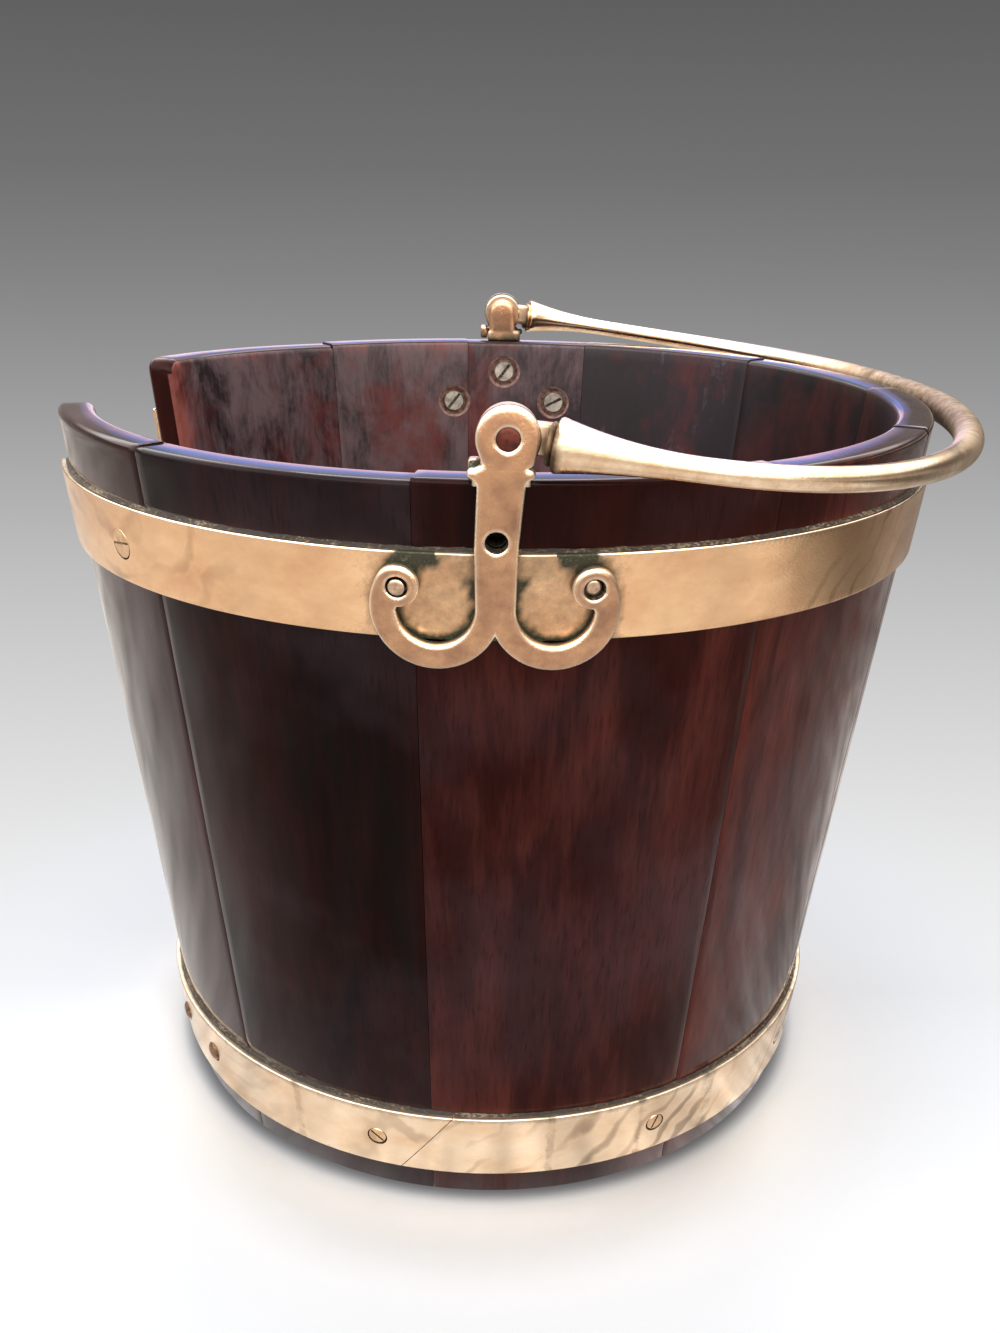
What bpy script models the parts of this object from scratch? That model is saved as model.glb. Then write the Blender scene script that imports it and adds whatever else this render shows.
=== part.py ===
"""Coopered mahogany plate bucket with brass hoops, cast lugs and a swinging bail handle.

Metres, +Z up. The origin is the middle of the base board's underside. Heights in this file are
measured from the foot that the bucket stands on, and one empty lowers the whole model by the
recess of the base board. An azimuth is in degrees about +Z from the front (-Y), towards +X.
"""

import math

import bmesh
import bpy
from mathutils import Matrix, Vector
from mathutils.geometry import interpolate_bezier

# Room between pieces that touch
GAP = 0.0003

# Body of staves
RIM_RADIUS = 0.180
FOOT_RADIUS = 0.14375
BODY_HEIGHT = 0.301
WALL = 0.014
RIM_OUTER_ROUND = 0.004
RIM_INNER_ROUND = 0.005
FOOT_CHAMFER = 0.0015
STAVE_SHARES_TO_LUG = (33.0, 34.0)
STAVE_SHARES_PAST_LUG = (39.5, 33.0, 33.0, 33.0, 33.3, 22.1, 26.1, 37.0)
LUG_SEAM_FROM_BOLT = 0.00346
TURN_STEP = 5.0

# Slot in the side, where the plates are gripped
SLOT_AZIMUTH = -93.5
SLOT_ANGLE = 36.0
SLOT_EDGE_ROUND = 0.005
SILL_OVER_HOOP = 0.0045

# Base board, held by its tongue in a groove of the staves
BASE_RECESS = 0.012
BASE_THICKNESS = 0.012
CROZE_WIDTH = 0.0055
CROZE_DEPTH = 0.0045
BASE_SHOULDER = 0.004

# Brass hoops
HOOP_THICKNESS = 0.0027
HOOP_EDGE = 0.0006
UPPER_HOOP_WIDTH = 0.0296
UPPER_HOOP_BELOW_RIM = 0.0223
UPPER_HOOP_END = 0.004
LOWER_HOOP_WIDTH = 0.0293
LOWER_HOOP_ABOVE_FOOT = 0.0122

# Hoop screws: azimuths, and the flush slotted head of each hoop's screws
UPPER_SCREW_FROM_SLOT = 45.8
UPPER_SCREW_HEAD = 0.0055
LOWER_SCREW_AZIMUTHS = (-66.0, -52.8, -17.0, 27.1, 60.2, 92.0, 140.0, 175.0, 222.0, 262.0)
LOWER_SCREW_HEAD = 0.0036
SCREW_SHANK = 0.0018
SCREW_LENGTH = 0.0115
SCREW_HEAD_LAND = 0.0007
SCREW_SLOT_WIDTH = 0.0011
SLOT_CUT_DEPTH = 0.0009
STUD_HEAD_RADIUS = 0.0042
STUD_HEAD_RISE = 0.0016
STUDS = 2

# Cast lugs: the scrolled plate, measured down from the rim and out from its middle
LUG_THICKNESS = 0.0045
SCROLL_OUT = 0.0188
SCROLL_BELOW_RIM = 0.0399
SCROLL_RADIUS = 0.0208
SCROLL_BAND = 0.0083
SCROLL_JOIN = 30.0
BULB_RADIUS = 0.0070
STEM_HALF_WIDTH = 0.0073
COVE_RADIUS = 0.0024
EAR_RADIUS = 0.00165
EAR_OUT = 0.0086
EAR_OVER_RIM = 0.0039
NECK_HALF_WIDTH = 0.0076
NECK_BELOW_PIVOT = 0.0079
HEAD_RADIUS = 0.00975
HEAD_FOOT = -20.0
PIVOT_OVER_RIM = 0.0145
SADDLE_HALF_WIDTH = 0.0088
SADDLE_THICKNESS = 0.0045
INNER_CHEEK_HALF_WIDTH = 0.0072
CHEEK_THICKNESS = 0.0045

# How far each lug's scrolls, ears and head stand to the right (+X) of the bucket's middle
PIVOT_ASIDE = 0.0030
LUG_ASIDES = {"front": (0.0, 0.0011, PIVOT_ASIDE), "back": (0.0049, 0.0040, PIVOT_ASIDE)}

# Lug bolts with slotted nuts sunk in the inside of the wall
BOLT_RADIUS = 0.00265
BOLT_RING_RADIUS = 0.0036
BOLT_RING_DEPTH = 0.001
TOP_BOLT_BELOW_RIM = 0.0173
BOLT_STANDS = {"top": -0.0030, "left": 0.0006, "right": -0.0012}
NUT_RADIUS = 0.0055
NUT_THICKNESS = 0.0030
NUT_SLOT_WIDTH = 0.0016
NUT_RECESS_RADIUS = 0.0075
NUT_RECESS_DEPTH = 0.0036

# Pivot pins and the handle
PIN_RADIUS = 0.0035
PIN_BLIND_DEPTH = 0.003
EYE_RADIUS = 0.0094
EYE_THICKNESS = 0.0065
BAIL_NECK_HALF_WIDTH = 0.0026
BAIL_NECK_HALF_HEIGHT = 0.0050
COLLAR_RADIUS = 0.00685
COLLAR_LENGTH = 0.0022
LIP_RADIUS = 0.0085
FLARE_LENGTH = 0.045
FLARE_POWER = 2.2
WAIST_RADIUS = 0.0040
GRIP_RADIUS = 0.0060
BAIL_RIM_CLEARANCE = 0.0055
BAIL_SPLAY = 16.0
BAIL_EYE_PULL_RATIO = 0.78
BAIL_CROWN_PULL_RATIO = 0.41
BAIL_REST_TILT = 5.73
BAIL_BOW = 0.0032
BAIL_STATIONS = 13

# Levels and places that follow from the sizes above
LEAN = math.atan((RIM_RADIUS - FOOT_RADIUS) / BODY_HEIGHT)
UPPER_HOOP_TOP = BODY_HEIGHT - UPPER_HOOP_BELOW_RIM
UPPER_HOOP_BOTTOM = UPPER_HOOP_TOP - UPPER_HOOP_WIDTH
LOWER_HOOP_TOP = LOWER_HOOP_ABOVE_FOOT + LOWER_HOOP_WIDTH
SLOT_SILL = LOWER_HOOP_TOP + SILL_OVER_HOOP
SLOT_FAR_EDGE = SLOT_AZIMUTH + SLOT_ANGLE / 2
BASE_MIDDLE = BASE_RECESS + BASE_THICKNESS / 2
LUG_STANDOFF = HOOP_THICKNESS + 2 * GAP
LUG_FACE = RIM_RADIUS + LUG_STANDOFF + LUG_THICKNESS
EYE_PLANE = LUG_FACE - CHEEK_THICKNESS - GAP - EYE_THICKNESS / 2
INNER_CHEEK_FACE = EYE_PLANE - EYE_THICKNESS / 2 - GAP - CHEEK_THICKNESS
PIVOT_HEIGHT = BODY_HEIGHT + PIVOT_OVER_RIM
SCROLL_HEIGHT = BODY_HEIGHT - SCROLL_BELOW_RIM
BULB_OUT = SCROLL_OUT + (SCROLL_RADIUS - BULB_RADIUS) * math.cos(math.radians(SCROLL_JOIN))
BULB_HEIGHT = SCROLL_HEIGHT + (SCROLL_RADIUS - BULB_RADIUS) * math.sin(math.radians(SCROLL_JOIN))
NECK_LEVEL = PIVOT_HEIGHT - NECK_BELOW_PIVOT
BAIL_REACH = RIM_RADIUS + BAIL_RIM_CLEARANCE + GRIP_RADIUS - PIVOT_ASIDE
OUTWARD_X = {"front": 1.0, "back": -1.0}
FACETS = round(360 / TURN_STEP)
FASTENER_SIDES = 12
PIN_SIDES = 24


def outer_radius(height):
    """Radius of the wall's outside at a height."""
    return FOOT_RADIUS + (RIM_RADIUS - FOOT_RADIUS) * height / BODY_HEIGHT


def inner_radius(height):
    """Radius of the wall's inside at a height."""
    return outer_radius(height) - WALL


def hoop_inner_radius(height):
    """Inside of a hoop, whose flat facets still clear the staves' corners."""
    return outer_radius(height) / math.cos(math.pi / FACETS) + GAP


def arc(centre, radius, start, end, steps):
    """Points of an arc, with both ends, angles in degrees."""
    angles = [math.radians(start + (end - start) * i / steps) for i in range(steps + 1)]
    return [(centre[0] + radius * math.cos(a), centre[1] + radius * math.sin(a)) for a in angles]


def make_material(name, colour, metallic, roughness):
    """Principled material from an sRGB colour as three numbers from 0 to 1."""
    material = bpy.data.materials.new(name)
    material.use_nodes = True
    shader = material.node_tree.nodes["Principled BSDF"]
    linear = [c / 12.92 if c <= 0.04045 else ((c + 0.055) / 1.055) ** 2.4 for c in colour]
    shader.inputs["Base Color"].default_value = (*linear, 1.0)
    shader.inputs["Metallic"].default_value = metallic
    shader.inputs["Roughness"].default_value = roughness
    return material


def start_scene():
    """Empty the scene and make the collections for the parts and for the cutters."""
    for old in list(bpy.data.objects):
        bpy.data.objects.remove(old)
    for name in ("plate_bucket", "cutters"):
        collection = bpy.data.collections.new(name)
        bpy.context.scene.collection.children.link(collection)


def add_empty(name, location, rotation, parent):
    """Empty that carries other objects."""
    empty = bpy.data.objects.new(name, None)
    bpy.data.collections["plate_bucket"].objects.link(empty)
    empty.location = location
    empty.rotation_euler = rotation
    empty.parent = parent
    return empty


def add_part(name, mesh, material, parent):
    """Visible part made from a mesh, with smooth shading broken at its sharp edges."""
    mesh.materials.clear()
    mesh.materials.append(material)
    mesh.shade_smooth()
    mesh.set_sharp_from_angle(angle=math.radians(35))
    part = bpy.data.objects.new(name, mesh)
    bpy.data.collections["plate_bucket"].objects.link(part)
    part.parent = parent
    return part


def add_cutter(name, mesh, parent):
    """Hidden shape that only takes part in Boolean modifiers."""
    cutter = bpy.data.objects.new(name, mesh)
    bpy.data.collections["cutters"].objects.link(cutter)
    cutter.hide_render = True
    cutter.display_type = "WIRE"
    cutter.parent = parent
    return cutter


def combine(target, tool, operation):
    """Boolean modifier on the target."""
    modifier = target.modifiers.new(tool.name, "BOOLEAN")
    modifier.operation = operation
    modifier.object = tool


def mesh_of(bm, name):
    """Mesh from a bmesh, with its faces pointing out."""
    bmesh.ops.recalc_face_normals(bm, faces=bm.faces)
    mesh = bpy.data.meshes.new(name)
    bm.to_mesh(mesh)
    bm.free()
    return mesh


def baked_mesh(obj):
    """Mesh of an object with its modifiers applied and doubles welded; the object is removed."""
    depsgraph = bpy.context.evaluated_depsgraph_get()
    mesh = bpy.data.meshes.new_from_object(obj.evaluated_get(depsgraph), depsgraph=depsgraph)
    bm = bmesh.new()
    bm.from_mesh(mesh)
    bmesh.ops.remove_doubles(bm, verts=bm.verts, dist=0.00001)
    bm.to_mesh(mesh)
    bm.free()
    bpy.data.objects.remove(obj)
    return mesh


def turned_mesh(name, profile, steps, closed=False):
    """Turned shape about Z from (radius, height) points that run down the outer side."""
    edges = [(i, i + 1) for i in range(len(profile) - 1)]
    if closed:
        edges.append((len(profile) - 1, 0))
    mesh = bpy.data.meshes.new(name)
    mesh.from_pydata([(r, 0.0, z) for r, z in profile], edges, [])
    blank = add_cutter(name + "_profile", mesh, None)
    screw = blank.modifiers.new("turn", "SCREW")
    screw.steps = steps
    screw.render_steps = steps
    screw.use_merge_vertices = True
    screw.merge_threshold = 0.00001
    return baked_mesh(blank)


def spun_bmesh(profile, start, sweep):
    """Closed segment of a ring: a (radius, height) outline swept from one azimuth to another."""
    steps = max(2, round(sweep / TURN_STEP))
    bm = bmesh.new()
    corners = [bm.verts.new((0.0, -r, z)) for r, z in profile]
    bm.faces.new(corners)
    turn = Matrix.Rotation(math.radians(start), 3, "Z")
    bmesh.ops.rotate(bm, cent=(0, 0, 0), matrix=turn, verts=bm.verts)
    section = bm.verts[:] + bm.edges[:] + bm.faces[:]
    bmesh.ops.spin(bm, geom=section, axis=(0, 0, 1), cent=(0, 0, 0), angle=math.radians(sweep), steps=steps)
    return bm


def box_mesh(name, low, high):
    """Box between two corners."""
    low, high = Vector(low), Vector(high)
    bm = bmesh.new()
    place = Matrix.Translation((low + high) / 2) @ Matrix.Diagonal((*(high - low), 1.0))
    bmesh.ops.create_cube(bm, size=1.0, matrix=place)
    return mesh_of(bm, name)


def cylinder_mesh(name, radius, depth, segments):
    """Cylinder along Y about the origin."""
    bm = bmesh.new()
    bmesh.ops.create_cone(bm, cap_ends=True, segments=segments, radius1=radius, radius2=radius,
                          depth=depth, matrix=Matrix.Rotation(math.pi / 2, 4, "X"))
    return mesh_of(bm, name)


def outline_mesh(name, points, front, back):
    """Flat outline in x and height, given thickness from y = -front to y = -back."""
    curve = bpy.data.curves.new(name, "CURVE")
    curve.dimensions = "2D"
    curve.fill_mode = "BOTH"
    curve.extrude = (front - back) / 2
    spline = curve.splines.new("POLY")
    spline.points.add(len(points) - 1)
    for point, (x, z) in zip(spline.points, points):
        point.co = (x, z, 0.0, 1.0)
    spline.use_cyclic_u = True
    blank = add_cutter(name + "_curve", curve, None)
    mesh = baked_mesh(blank)
    upright = Matrix.Rotation(math.pi / 2, 4, "X")
    mesh.transform(Matrix.Translation((0, -(front + back) / 2, 0)) @ upright)
    return mesh


def stave_profile(top, with_sill_corners):
    """Section of a stave: rounded top edges, chamfered foot and the groove for the base board."""
    croze_low = BASE_MIDDLE - CROZE_WIDTH / 2
    croze_high = BASE_MIDDLE + CROZE_WIDTH / 2
    outer_round = (outer_radius(top - RIM_OUTER_ROUND) - RIM_OUTER_ROUND, top - RIM_OUTER_ROUND)
    inner_round = (inner_radius(top - RIM_INNER_ROUND) + RIM_INNER_ROUND, top - RIM_INNER_ROUND)
    profile = [(outer_radius(0) - FOOT_CHAMFER, 0.0), (outer_radius(FOOT_CHAMFER), FOOT_CHAMFER)]
    if with_sill_corners:
        profile.append((outer_radius(SLOT_SILL), SLOT_SILL))
    profile += arc(outer_round, RIM_OUTER_ROUND, 0, 90, 3)
    profile += arc(inner_round, RIM_INNER_ROUND, 90, 180, 3)
    if with_sill_corners:
        profile.append((inner_radius(SLOT_SILL), SLOT_SILL))
    profile.append((inner_radius(croze_high), croze_high))
    profile.append((inner_radius(croze_high) + CROZE_DEPTH, croze_high))
    profile.append((inner_radius(croze_low) + CROZE_DEPTH, croze_low))
    profile.append((inner_radius(croze_low), croze_low))
    profile.append((inner_radius(FOOT_CHAMFER), FOOT_CHAMFER))
    profile.append((inner_radius(0) + FOOT_CHAMFER, 0.0))
    return profile


def round_slot_edge(bm, azimuth):
    """Round a stave's upright edges where it borders the slot, above the sill."""
    across = Vector((math.cos(math.radians(azimuth)), math.sin(math.radians(azimuth)), 0.0))
    near = [v for v in bm.verts if abs(v.co.dot(across)) < 0.00001 and v.co.z > SLOT_SILL - 0.00001]
    edges = [e for e in bm.edges if e.verts[0] in near and e.verts[1] in near]
    bmesh.ops.bevel(bm, geom=edges, offset=SLOT_EDGE_ROUND, offset_type="OFFSET", segments=2,
                    profile=0.5, affect="EDGES", material=-1)


def stave_spans():
    """Start and end azimuth of each full stave; one seam keeps its place beside the front lug's left bolt."""
    bolt, bolt_height = bolt_places("front")["left"]
    seam = bolt + math.degrees(LUG_SEAM_FROM_BOLT / outer_radius(bolt_height))
    groups = (
        (STAVE_SHARES_TO_LUG, SLOT_FAR_EDGE, seam),
        (STAVE_SHARES_PAST_LUG, seam, SLOT_FAR_EDGE + 360.0 - SLOT_ANGLE),
    )
    spans = []
    for shares, start, last in groups:
        scale = (last - start) / sum(shares)
        for share in shares:
            spans.append((start, start + share * scale))
            start += share * scale
    return spans


def make_staves(wood, frame):
    """Ten full staves from one side of the slot round to the other; returns spans with objects."""
    seam_gap = math.degrees(GAP / inner_radius(0))
    spans = stave_spans()
    staves = []
    for number, (start, end) in enumerate(spans, start=1):
        name = f"stave_{number:02d}"
        first, last = number == 1, number == len(spans)
        profile = stave_profile(BODY_HEIGHT, first or last)
        bm = spun_bmesh(profile, start + seam_gap / 2, end - start - seam_gap)
        if first:
            round_slot_edge(bm, start + seam_gap / 2)
        if last:
            round_slot_edge(bm, end - seam_gap / 2)
        staves.append((start, end, add_part(name, mesh_of(bm, name), wood, frame)))
    low, high = SLOT_FAR_EDGE - SLOT_ANGLE + seam_gap / 2, SLOT_FAR_EDGE - seam_gap / 2
    sill = mesh_of(spun_bmesh(stave_profile(SLOT_SILL, False), low, high - low), "slot_sill_stave")
    staves.append((low, high, add_part("slot_sill_stave", sill, wood, frame)))
    return staves


def make_base_board(wood, frame):
    """Round board whose thinned edge sits in the staves' groove."""
    top = BASE_RECESS + BASE_THICKNESS
    tongue = CROZE_WIDTH / 2 - GAP
    groove_floor = inner_radius(BASE_MIDDLE - CROZE_WIDTH / 2) + CROZE_DEPTH
    edge = groove_floor * math.cos(math.pi / FACETS) - GAP
    shoulder = inner_radius(BASE_RECESS) - BASE_SHOULDER
    profile = [
        (0.0, top),
        (shoulder, top),
        (inner_radius(BASE_MIDDLE) - BASE_SHOULDER / 4, BASE_MIDDLE + tongue),
        (edge, BASE_MIDDLE + tongue),
        (edge, BASE_MIDDLE - tongue),
        (inner_radius(BASE_MIDDLE) - BASE_SHOULDER / 4, BASE_MIDDLE - tongue),
        (shoulder, BASE_RECESS),
        (0.0, BASE_RECESS),
    ]
    add_part("base_board", turned_mesh("base_board", profile, FACETS), wood, frame)


def hoop_profile(bottom, top):
    """Section of a hoop that leans with the wall, with eased outer edges."""
    low, high = hoop_inner_radius(bottom), hoop_inner_radius(top)
    return [
        (high, top),
        (high + HOOP_THICKNESS - HOOP_EDGE, top),
        (high + HOOP_THICKNESS, top - HOOP_EDGE),
        (low + HOOP_THICKNESS, bottom + HOOP_EDGE),
        (low + HOOP_THICKNESS - HOOP_EDGE, bottom),
        (low, bottom),
    ]


def make_hoops(brass, frame):
    """Upper hoop, open at the slot, and the whole lower hoop."""
    end = math.degrees(UPPER_HOOP_END / RIM_RADIUS)
    start, sweep = SLOT_FAR_EDGE + end, 360.0 - SLOT_ANGLE - 2 * end
    upper = mesh_of(spun_bmesh(hoop_profile(UPPER_HOOP_BOTTOM, UPPER_HOOP_TOP), start, sweep), "upper_hoop")
    lower_profile = hoop_profile(LOWER_HOOP_ABOVE_FOOT, LOWER_HOOP_TOP)
    lower = turned_mesh("lower_hoop", lower_profile, FACETS, closed=True)
    return add_part("upper_hoop", upper, brass, frame), add_part("lower_hoop", lower, brass, frame)


def lug_half_outline():
    """Right half of the lug's outline, from the cleft between the scrolls to the top of the head."""
    scroll, bulb = (SCROLL_OUT, SCROLL_HEIGHT), (BULB_OUT, BULB_HEIGHT)
    cleft = -math.degrees(math.acos(-SCROLL_OUT / SCROLL_RADIUS))
    ear = (EAR_OUT, BODY_HEIGHT + EAR_OVER_RIM)
    cove = (STEM_HALF_WIDTH + COVE_RADIUS, BODY_HEIGHT)
    points = arc(scroll, SCROLL_RADIUS, cleft, SCROLL_JOIN, 14)
    points += arc(bulb, BULB_RADIUS, SCROLL_JOIN, 270, 9)[1:]
    points += arc(scroll, SCROLL_RADIUS - SCROLL_BAND, -5, -180, 9)
    points += arc(cove, COVE_RADIUS, 180, 105, 2)
    points += arc(ear, EAR_RADIUS, -70, 90, 4)
    points.append((NECK_HALF_WIDTH, NECK_LEVEL))
    points += arc((0.0, PIVOT_HEIGHT), HEAD_RADIUS, HEAD_FOOT, 90, 7)
    return points


def lug_aside(side, height):
    """How far a lug stands aside at a height, towards +X; the head keeps the hinge's place."""
    foot, ear, head = LUG_ASIDES[side]
    if height > NECK_LEVEL - GAP:
        return head
    share = min(1.0, max(0.0, (height - SCROLL_HEIGHT) / (BODY_HEIGHT - SCROLL_HEIGHT)))
    return foot + (ear - foot) * share * share


def lug_outline(side):
    """Whole outline of a lug as seen from outside, its left half mirrored, with its lean."""
    right = lug_half_outline()
    left = [(-x, z) for x, z in reversed(right[1:-1])]
    outward = OUTWARD_X[side]
    return [(x + outward * lug_aside(side, z), z) for x, z in right + left]


def lug_shell_mesh():
    """Bent plate that follows the wall, with room behind it for the upper hoop."""
    top, bottom = BODY_HEIGHT, SCROLL_HEIGHT - 1.5 * SCROLL_RADIUS
    step_top, step_bottom = UPPER_HOOP_TOP + GAP, UPPER_HOOP_BOTTOM - GAP
    half_angle = math.degrees(2.5 * SCROLL_RADIUS / RIM_RADIUS)
    flats = math.cos(math.pi / FACETS)
    face = [(outer_radius(z) + LUG_FACE - RIM_RADIUS, z) for z in (top, bottom)]
    wall = [(outer_radius(z) / flats + GAP, z) for z in (bottom, step_bottom, step_top, top)]
    over_hoop = [(hoop_inner_radius(z) / flats + HOOP_THICKNESS + GAP, z) for z in (step_bottom, step_top)]
    profile = face + wall[:2] + over_hoop + wall[2:]
    return mesh_of(spun_bmesh(profile, -half_angle, 2 * half_angle), "lug_shell")


def inner_cheek_outline(middle):
    """Thumb-shaped outline of the cheek on the inner side of the handle's eye."""
    half = INNER_CHEEK_HALF_WIDTH
    foot = BODY_HEIGHT + GAP + SADDLE_THICKNESS / 2
    return [(middle - half, foot), (middle + half, foot)] + arc((middle, PIVOT_HEIGHT), half, 0, 180, 10)


def make_lug_mesh(side):
    """Lug casting: bent scroll plate, upright head, saddle over the rim and inner cheek."""
    outline = lug_outline(side)
    ears = OUTWARD_X[side] * lug_aside(side, BODY_HEIGHT)
    middle = OUTWARD_X[side] * PIVOT_ASIDE
    blank = outline_mesh("lug_plate", outline, LUG_FACE + WALL, RIM_RADIUS - 2 * WALL)
    plate = add_cutter("lug_plate", blank, None)
    shell = add_cutter("lug_shell", lug_shell_mesh(), None)
    combine(plate, shell, "INTERSECT")
    head_points = [(x, z) for x, z in outline if z > BODY_HEIGHT - SADDLE_THICKNESS]
    head_mesh = outline_mesh("lug_head", head_points, LUG_FACE, LUG_FACE - CHEEK_THICKNESS)
    head = add_cutter("lug_head", head_mesh, None)
    saddle_low = (ears - SADDLE_HALF_WIDTH, -LUG_FACE + GAP, BODY_HEIGHT + GAP)
    saddle_high = (ears + SADDLE_HALF_WIDTH, -INNER_CHEEK_FACE, BODY_HEIGHT + GAP + SADDLE_THICKNESS)
    saddle = add_cutter("lug_saddle", box_mesh("lug_saddle", saddle_low, saddle_high), None)
    eye_side = INNER_CHEEK_FACE + CHEEK_THICKNESS
    cheek_mesh = outline_mesh("lug_cheek", inner_cheek_outline(middle), eye_side, INNER_CHEEK_FACE)
    cheek = add_cutter("lug_cheek", cheek_mesh, None)
    hole_length = LUG_FACE - eye_side + 2 * PIN_BLIND_DEPTH
    hole_mesh = cylinder_mesh("pin_hole", PIN_RADIUS + GAP, hole_length, PIN_SIDES)
    hole = add_cutter("lug_pin_hole", hole_mesh, None)
    hole.location = (middle, -(eye_side - PIN_BLIND_DEPTH + hole_length / 2), PIVOT_HEIGHT)
    for tool in (head, saddle, cheek):
        combine(plate, tool, "UNION")
    combine(plate, hole, "DIFFERENCE")
    mesh = baked_mesh(plate)
    for tool in (shell, head, saddle, cheek, hole):
        bpy.data.objects.remove(tool)
    return mesh


def place_on_wall(obj, azimuth, height, standoff):
    """Set an object whose +Z points out along the wall's normal on a surface outside the wall."""
    turn = math.radians(azimuth)
    radius = outer_radius(height) + standoff
    obj.location = (radius * math.sin(turn), -radius * math.cos(turn), height)
    obj.rotation_euler = (math.pi / 2 + LEAN, 0.0, turn)


def screw_profile(head, grow):
    """Countersunk screw, head up, or the hole for it when grown by a clearance."""
    depth = head - SCREW_SHANK + SCREW_HEAD_LAND
    top = HOOP_THICKNESS if grow else 0.0
    return [
        (0.0, top),
        (head + grow, top),
        (head + grow, -SCREW_HEAD_LAND),
        (SCREW_SHANK + grow, -depth - grow),
        (SCREW_SHANK + grow, -SCREW_LENGTH + SCREW_SHANK),
        (0.0, -SCREW_LENGTH - grow),
    ]


def stud_profile():
    """Screw whose round head stands proud of the hoop, without a slot."""
    stud = [(0.0, STUD_HEAD_RISE)]
    for share, rise in ((0.5, 0.84), (0.86, 0.45)):
        stud.append((share * STUD_HEAD_RADIUS, rise * STUD_HEAD_RISE))
    stud += [(STUD_HEAD_RADIUS, GAP), (LOWER_SCREW_HEAD, GAP)]
    return stud + screw_profile(LOWER_SCREW_HEAD, 0.0)[2:]


def slotted_mesh(name, profile, face, reach, width, closed=False):
    """Turned fastener with a screwdriver slot cut across the face at a height."""
    blank = add_cutter(name + "_blank", turned_mesh(name, profile, FASTENER_SIDES, closed), None)
    low = (-reach, -width / 2, face - SLOT_CUT_DEPTH)
    high = (reach, width / 2, face + SLOT_CUT_DEPTH)
    slot = add_cutter(name + "_slot", box_mesh(name + "_slot", low, high), None)
    combine(blank, slot, "DIFFERENCE")
    mesh = baked_mesh(blank)
    bpy.data.objects.remove(slot)
    return mesh


def near_staves(staves, azimuth, radius, height):
    """Staves that a hole of this radius reaches at an azimuth and height."""
    reach = math.degrees(radius / inner_radius(height))
    found = []
    for start, end, stave in staves:
        for turn in (-360.0, 0.0, 360.0):
            if start - reach < azimuth + turn < end + reach:
                found.append(stave)
    return found


def make_hoop_screws(brass, frame, staves, hoops):
    """Slotted countersunk screws through each hoop into the staves, and their holes."""
    upper, lower = hoops
    upper_height = (UPPER_HOOP_BOTTOM + UPPER_HOOP_TOP) / 2
    lower_height = (LOWER_HOOP_ABOVE_FOOT + LOWER_HOOP_TOP) / 2
    upper_azimuths = (SLOT_AZIMUTH + UPPER_SCREW_FROM_SLOT, SLOT_AZIMUTH - UPPER_SCREW_FROM_SLOT)
    sets = [
        ("upper_hoop_screw", upper, upper_azimuths, upper_height, UPPER_SCREW_HEAD),
        ("lower_hoop_screw", lower, LOWER_SCREW_AZIMUTHS, lower_height, LOWER_SCREW_HEAD),
    ]
    for name, hoop, azimuths, height, head in sets:
        slotted = slotted_mesh(name, screw_profile(head, 0.0), 0.0, 2 * head, SCREW_SLOT_WIDTH)
        hole_shape = turned_mesh(name + "_hole", screw_profile(head, GAP), FASTENER_SIDES)
        for number, azimuth in enumerate(azimuths, start=1):
            if hoop == lower and number <= STUDS:
                shape = turned_mesh(f"{name}_stud", stud_profile(), FASTENER_SIDES)
            else:
                shape = slotted
            screw = add_part(f"{name}_{number:02d}", shape, brass, frame)
            hole = add_cutter(f"{name}_hole_{number:02d}", hole_shape, frame)
            for obj in (screw, hole):
                place_on_wall(obj, azimuth, height, GAP + HOOP_THICKNESS)
            combine(hoop, hole, "DIFFERENCE")
            for stave in near_staves(staves, azimuth, SCREW_SHANK, height):
                combine(stave, hole, "DIFFERENCE")


def bolt_places(side):
    """Azimuth from the lug's place and height of each of a lug's bolts."""
    foot = OUTWARD_X[side] * LUG_ASIDES[side][0]
    places = {}
    for name, x, height in (
        ("top", foot, BODY_HEIGHT - TOP_BOLT_BELOW_RIM),
        ("left", foot - BULB_OUT, BULB_HEIGHT),
        ("right", foot + BULB_OUT, BULB_HEIGHT),
    ):
        radius = outer_radius(height) + LUG_FACE - RIM_RADIUS
        places[name] = (math.degrees(math.asin(x / radius)), height)
    return places


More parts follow.
